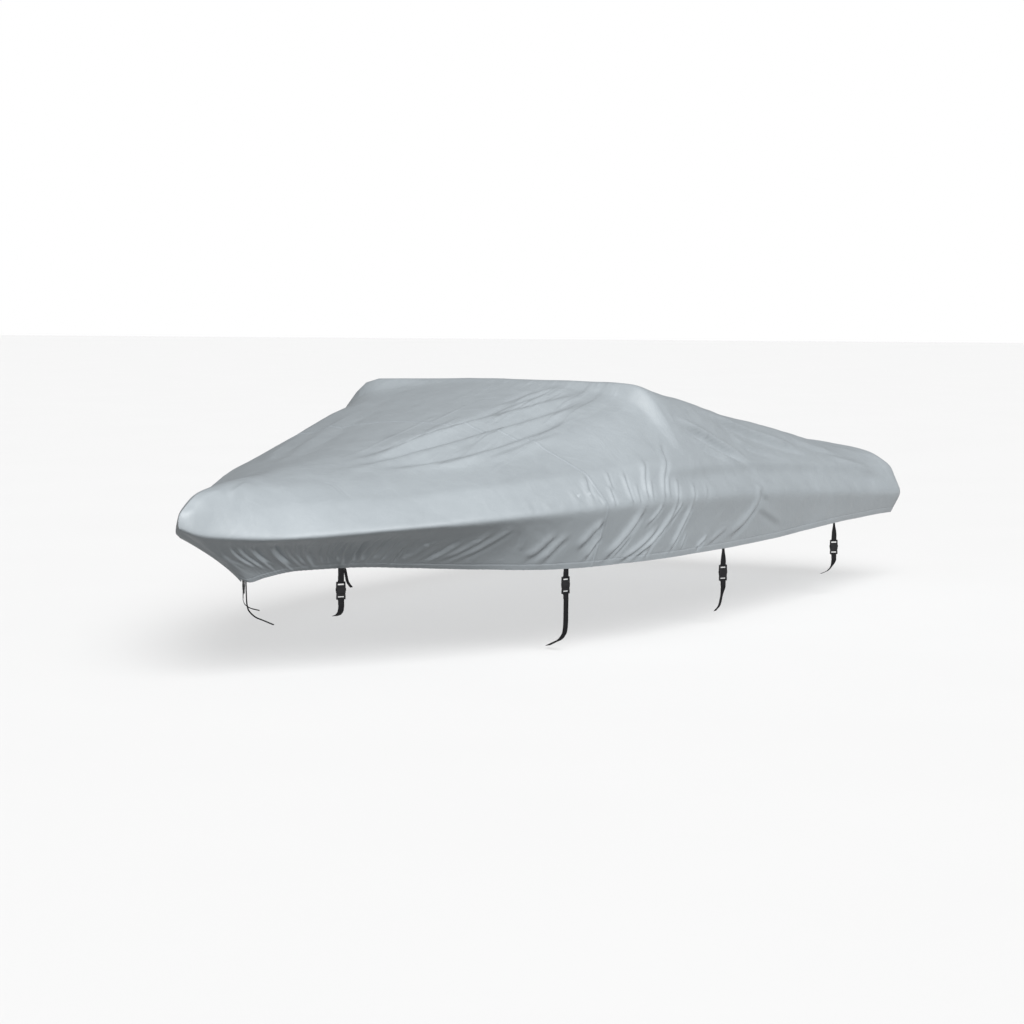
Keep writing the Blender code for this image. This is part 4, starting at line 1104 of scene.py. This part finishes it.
class BOATCOVER_OT_bar_tacks(bpy.types.Operator):
    """Sew the doubled end of each loose end together"""
    bl_idname = "boatcover.bar_tacks"
    bl_label = "Strap stitching"

    def execute(self, context):
        props = context.scene.boat_cover_strap
        thread = sewing_thread(props)
        half = props.web_width / 2 - TACK_EDGE
        for hand, _side in SIDES:
            runs = []
            for place in STRAPS:
                stand = made[f"{hand}_{place}"]
                outer = -stand.seat + props.web_thickness / 2
                across = np.array(stand.facing.cross(UP)) * half
                for down in TACK_ROWS:
                    up = stand.socket_bar - PLUG_BAR_DROP - down
                    centre = np.array(stand.turned(stand.point(outer, up)))
                    runs.append((np.array([centre - across, centre + across]),
                                 np.array([stand.facing] * 2)))
            piece = stitch_runs(f"{hand}_strap_stitching", runs, *TACK_STITCH)
            finish_piece(piece, thread)
        return {"FINISHED"}


class BOATCOVER_OT_buckles(bpy.types.Operator):
    """Give the side-release buckles their moulded plastic"""
    bl_idname = "boatcover.buckles"
    bl_label = "Buckles"

    def execute(self, context):
        plastic = moulded_plastic(context.scene.boat_cover_strap)
        for name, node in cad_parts.items():
            if name.endswith(("_socket", "_plug")):
                for slot in node.material_slots:
                    slot.material = plastic
        return {"FINISHED"}


class BOATCOVER_OT_declare(bpy.types.Operator):
    """Does nothing: no flat size of a panel is stated"""
    bl_idname = "boatcover.declare"
    bl_label = "Cloth sizes"

    def execute(self, context):
        return {"FINISHED"}


class BOATCOVER_OT_stage(bpy.types.Operator):
    """Set up the floor, the light and the camera"""
    bl_idname = "boatcover.stage"
    bl_label = "Stage"

    def execute(self, context):
        scene, props = context.scene, context.scene.boat_cover_stage
        make_active()
        bpy.ops.mesh.primitive_plane_add(
            size=FLOOR_SIZE, location=(0.0, 0.0, CAD_BOX[0][2] - props.floor_drop))
        floor = context.object
        floor.name = "floor"
        floor.data.materials.append(pale_floor(props))
        floor.visible_diffuse = False

        for name, (source, softness, shadow) in LIGHTS.items():
            bpy.ops.object.light_add(type="SUN")
            sun = context.object
            sun.name = f"{name}_light"
            sun.rotation_euler = Vector(source).to_track_quat("Z", "Y").to_euler()
            sun.data.energy = getattr(props, f"{name}_strength")
            sun.data.angle = math.radians(softness)
            sun.data.use_shadow = shadow

        scene.world = bpy.data.worlds.new("studio")
        scene.world.use_nodes = True
        nodes, links = scene.world.node_tree.nodes, scene.world.node_tree.links
        seen, either = nodes.new("ShaderNodeLightPath"), nodes.new("ShaderNodeMixShader")
        links.new(seen.outputs["Is Camera Ray"], either.inputs["Fac"])
        for slot, background, strength in (
                (1, nodes["Background"], props.sky_strength),
                (2, nodes.new("ShaderNodeBackground"), props.backdrop)):
            background.inputs["Color"].default_value = WHITE
            background.inputs["Strength"].default_value = strength
            links.new(background.outputs[0], either.inputs[slot])
        links.new(either.outputs[0], nodes["World Output"].inputs["Surface"])

        bpy.ops.object.camera_add()
        camera = scene.camera = context.object
        camera.matrix_world = (
            Matrix.Translation(CAMERA_PLACE) @ Matrix.Rotation(math.radians(CAMERA_TURN), 4, "Z")
            @ Matrix.Rotation(math.radians(90.0 - CAMERA_PITCH), 4, "X"))
        camera.data.sensor_fit = "HORIZONTAL"
        camera.data.angle = math.radians(props.view_width)
        camera.data.clip_end = SEEN_TO
        scene.view_settings.view_transform = "Standard"
        return {"FINISHED"}


OPERATORS = (BOATCOVER_OT_panels, BOATCOVER_OT_stitching, BOATCOVER_OT_webbing,
             BOATCOVER_OT_bar_tacks, BOATCOVER_OT_buckles, BOATCOVER_OT_declare,
             BOATCOVER_OT_stage)
STEPS = [kind.bl_idname.split(".")[1] for kind in OPERATORS]


class BOATCOVER_PT_sidebar(bpy.types.Panel):
    """Buttons and settings of the boat cover"""
    bl_idname = "BOATCOVER_PT_sidebar"
    bl_label = "Boat cover"
    bl_space_type = "VIEW_3D"
    bl_region_type = "UI"
    bl_category = "Boat cover"

    def draw(self, context):
        for step in STEPS:
            self.layout.operator(f"boatcover.{step}")
        for name, settings in SETTINGS.items():
            box = self.layout.box()
            for setting in settings.__annotations__:
                box.prop(getattr(context.scene, name), setting)


KINDS = (*SETTINGS.values(), *OPERATORS, BOATCOVER_PT_sidebar)


def register():
    for kind in KINDS:
        bpy.utils.register_class(kind)
    for name, settings in SETTINGS.items():
        setattr(bpy.types.Scene, name, bpy.props.PointerProperty(type=settings))


def unregister():
    for name in SETTINGS:
        delattr(bpy.types.Scene, name)
    for kind in reversed(KINDS):
        bpy.utils.unregister_class(kind)


def main():
    register()
    for step in STEPS:
        getattr(bpy.ops.boatcover, step)()


if __name__ == "__main__":
    main()
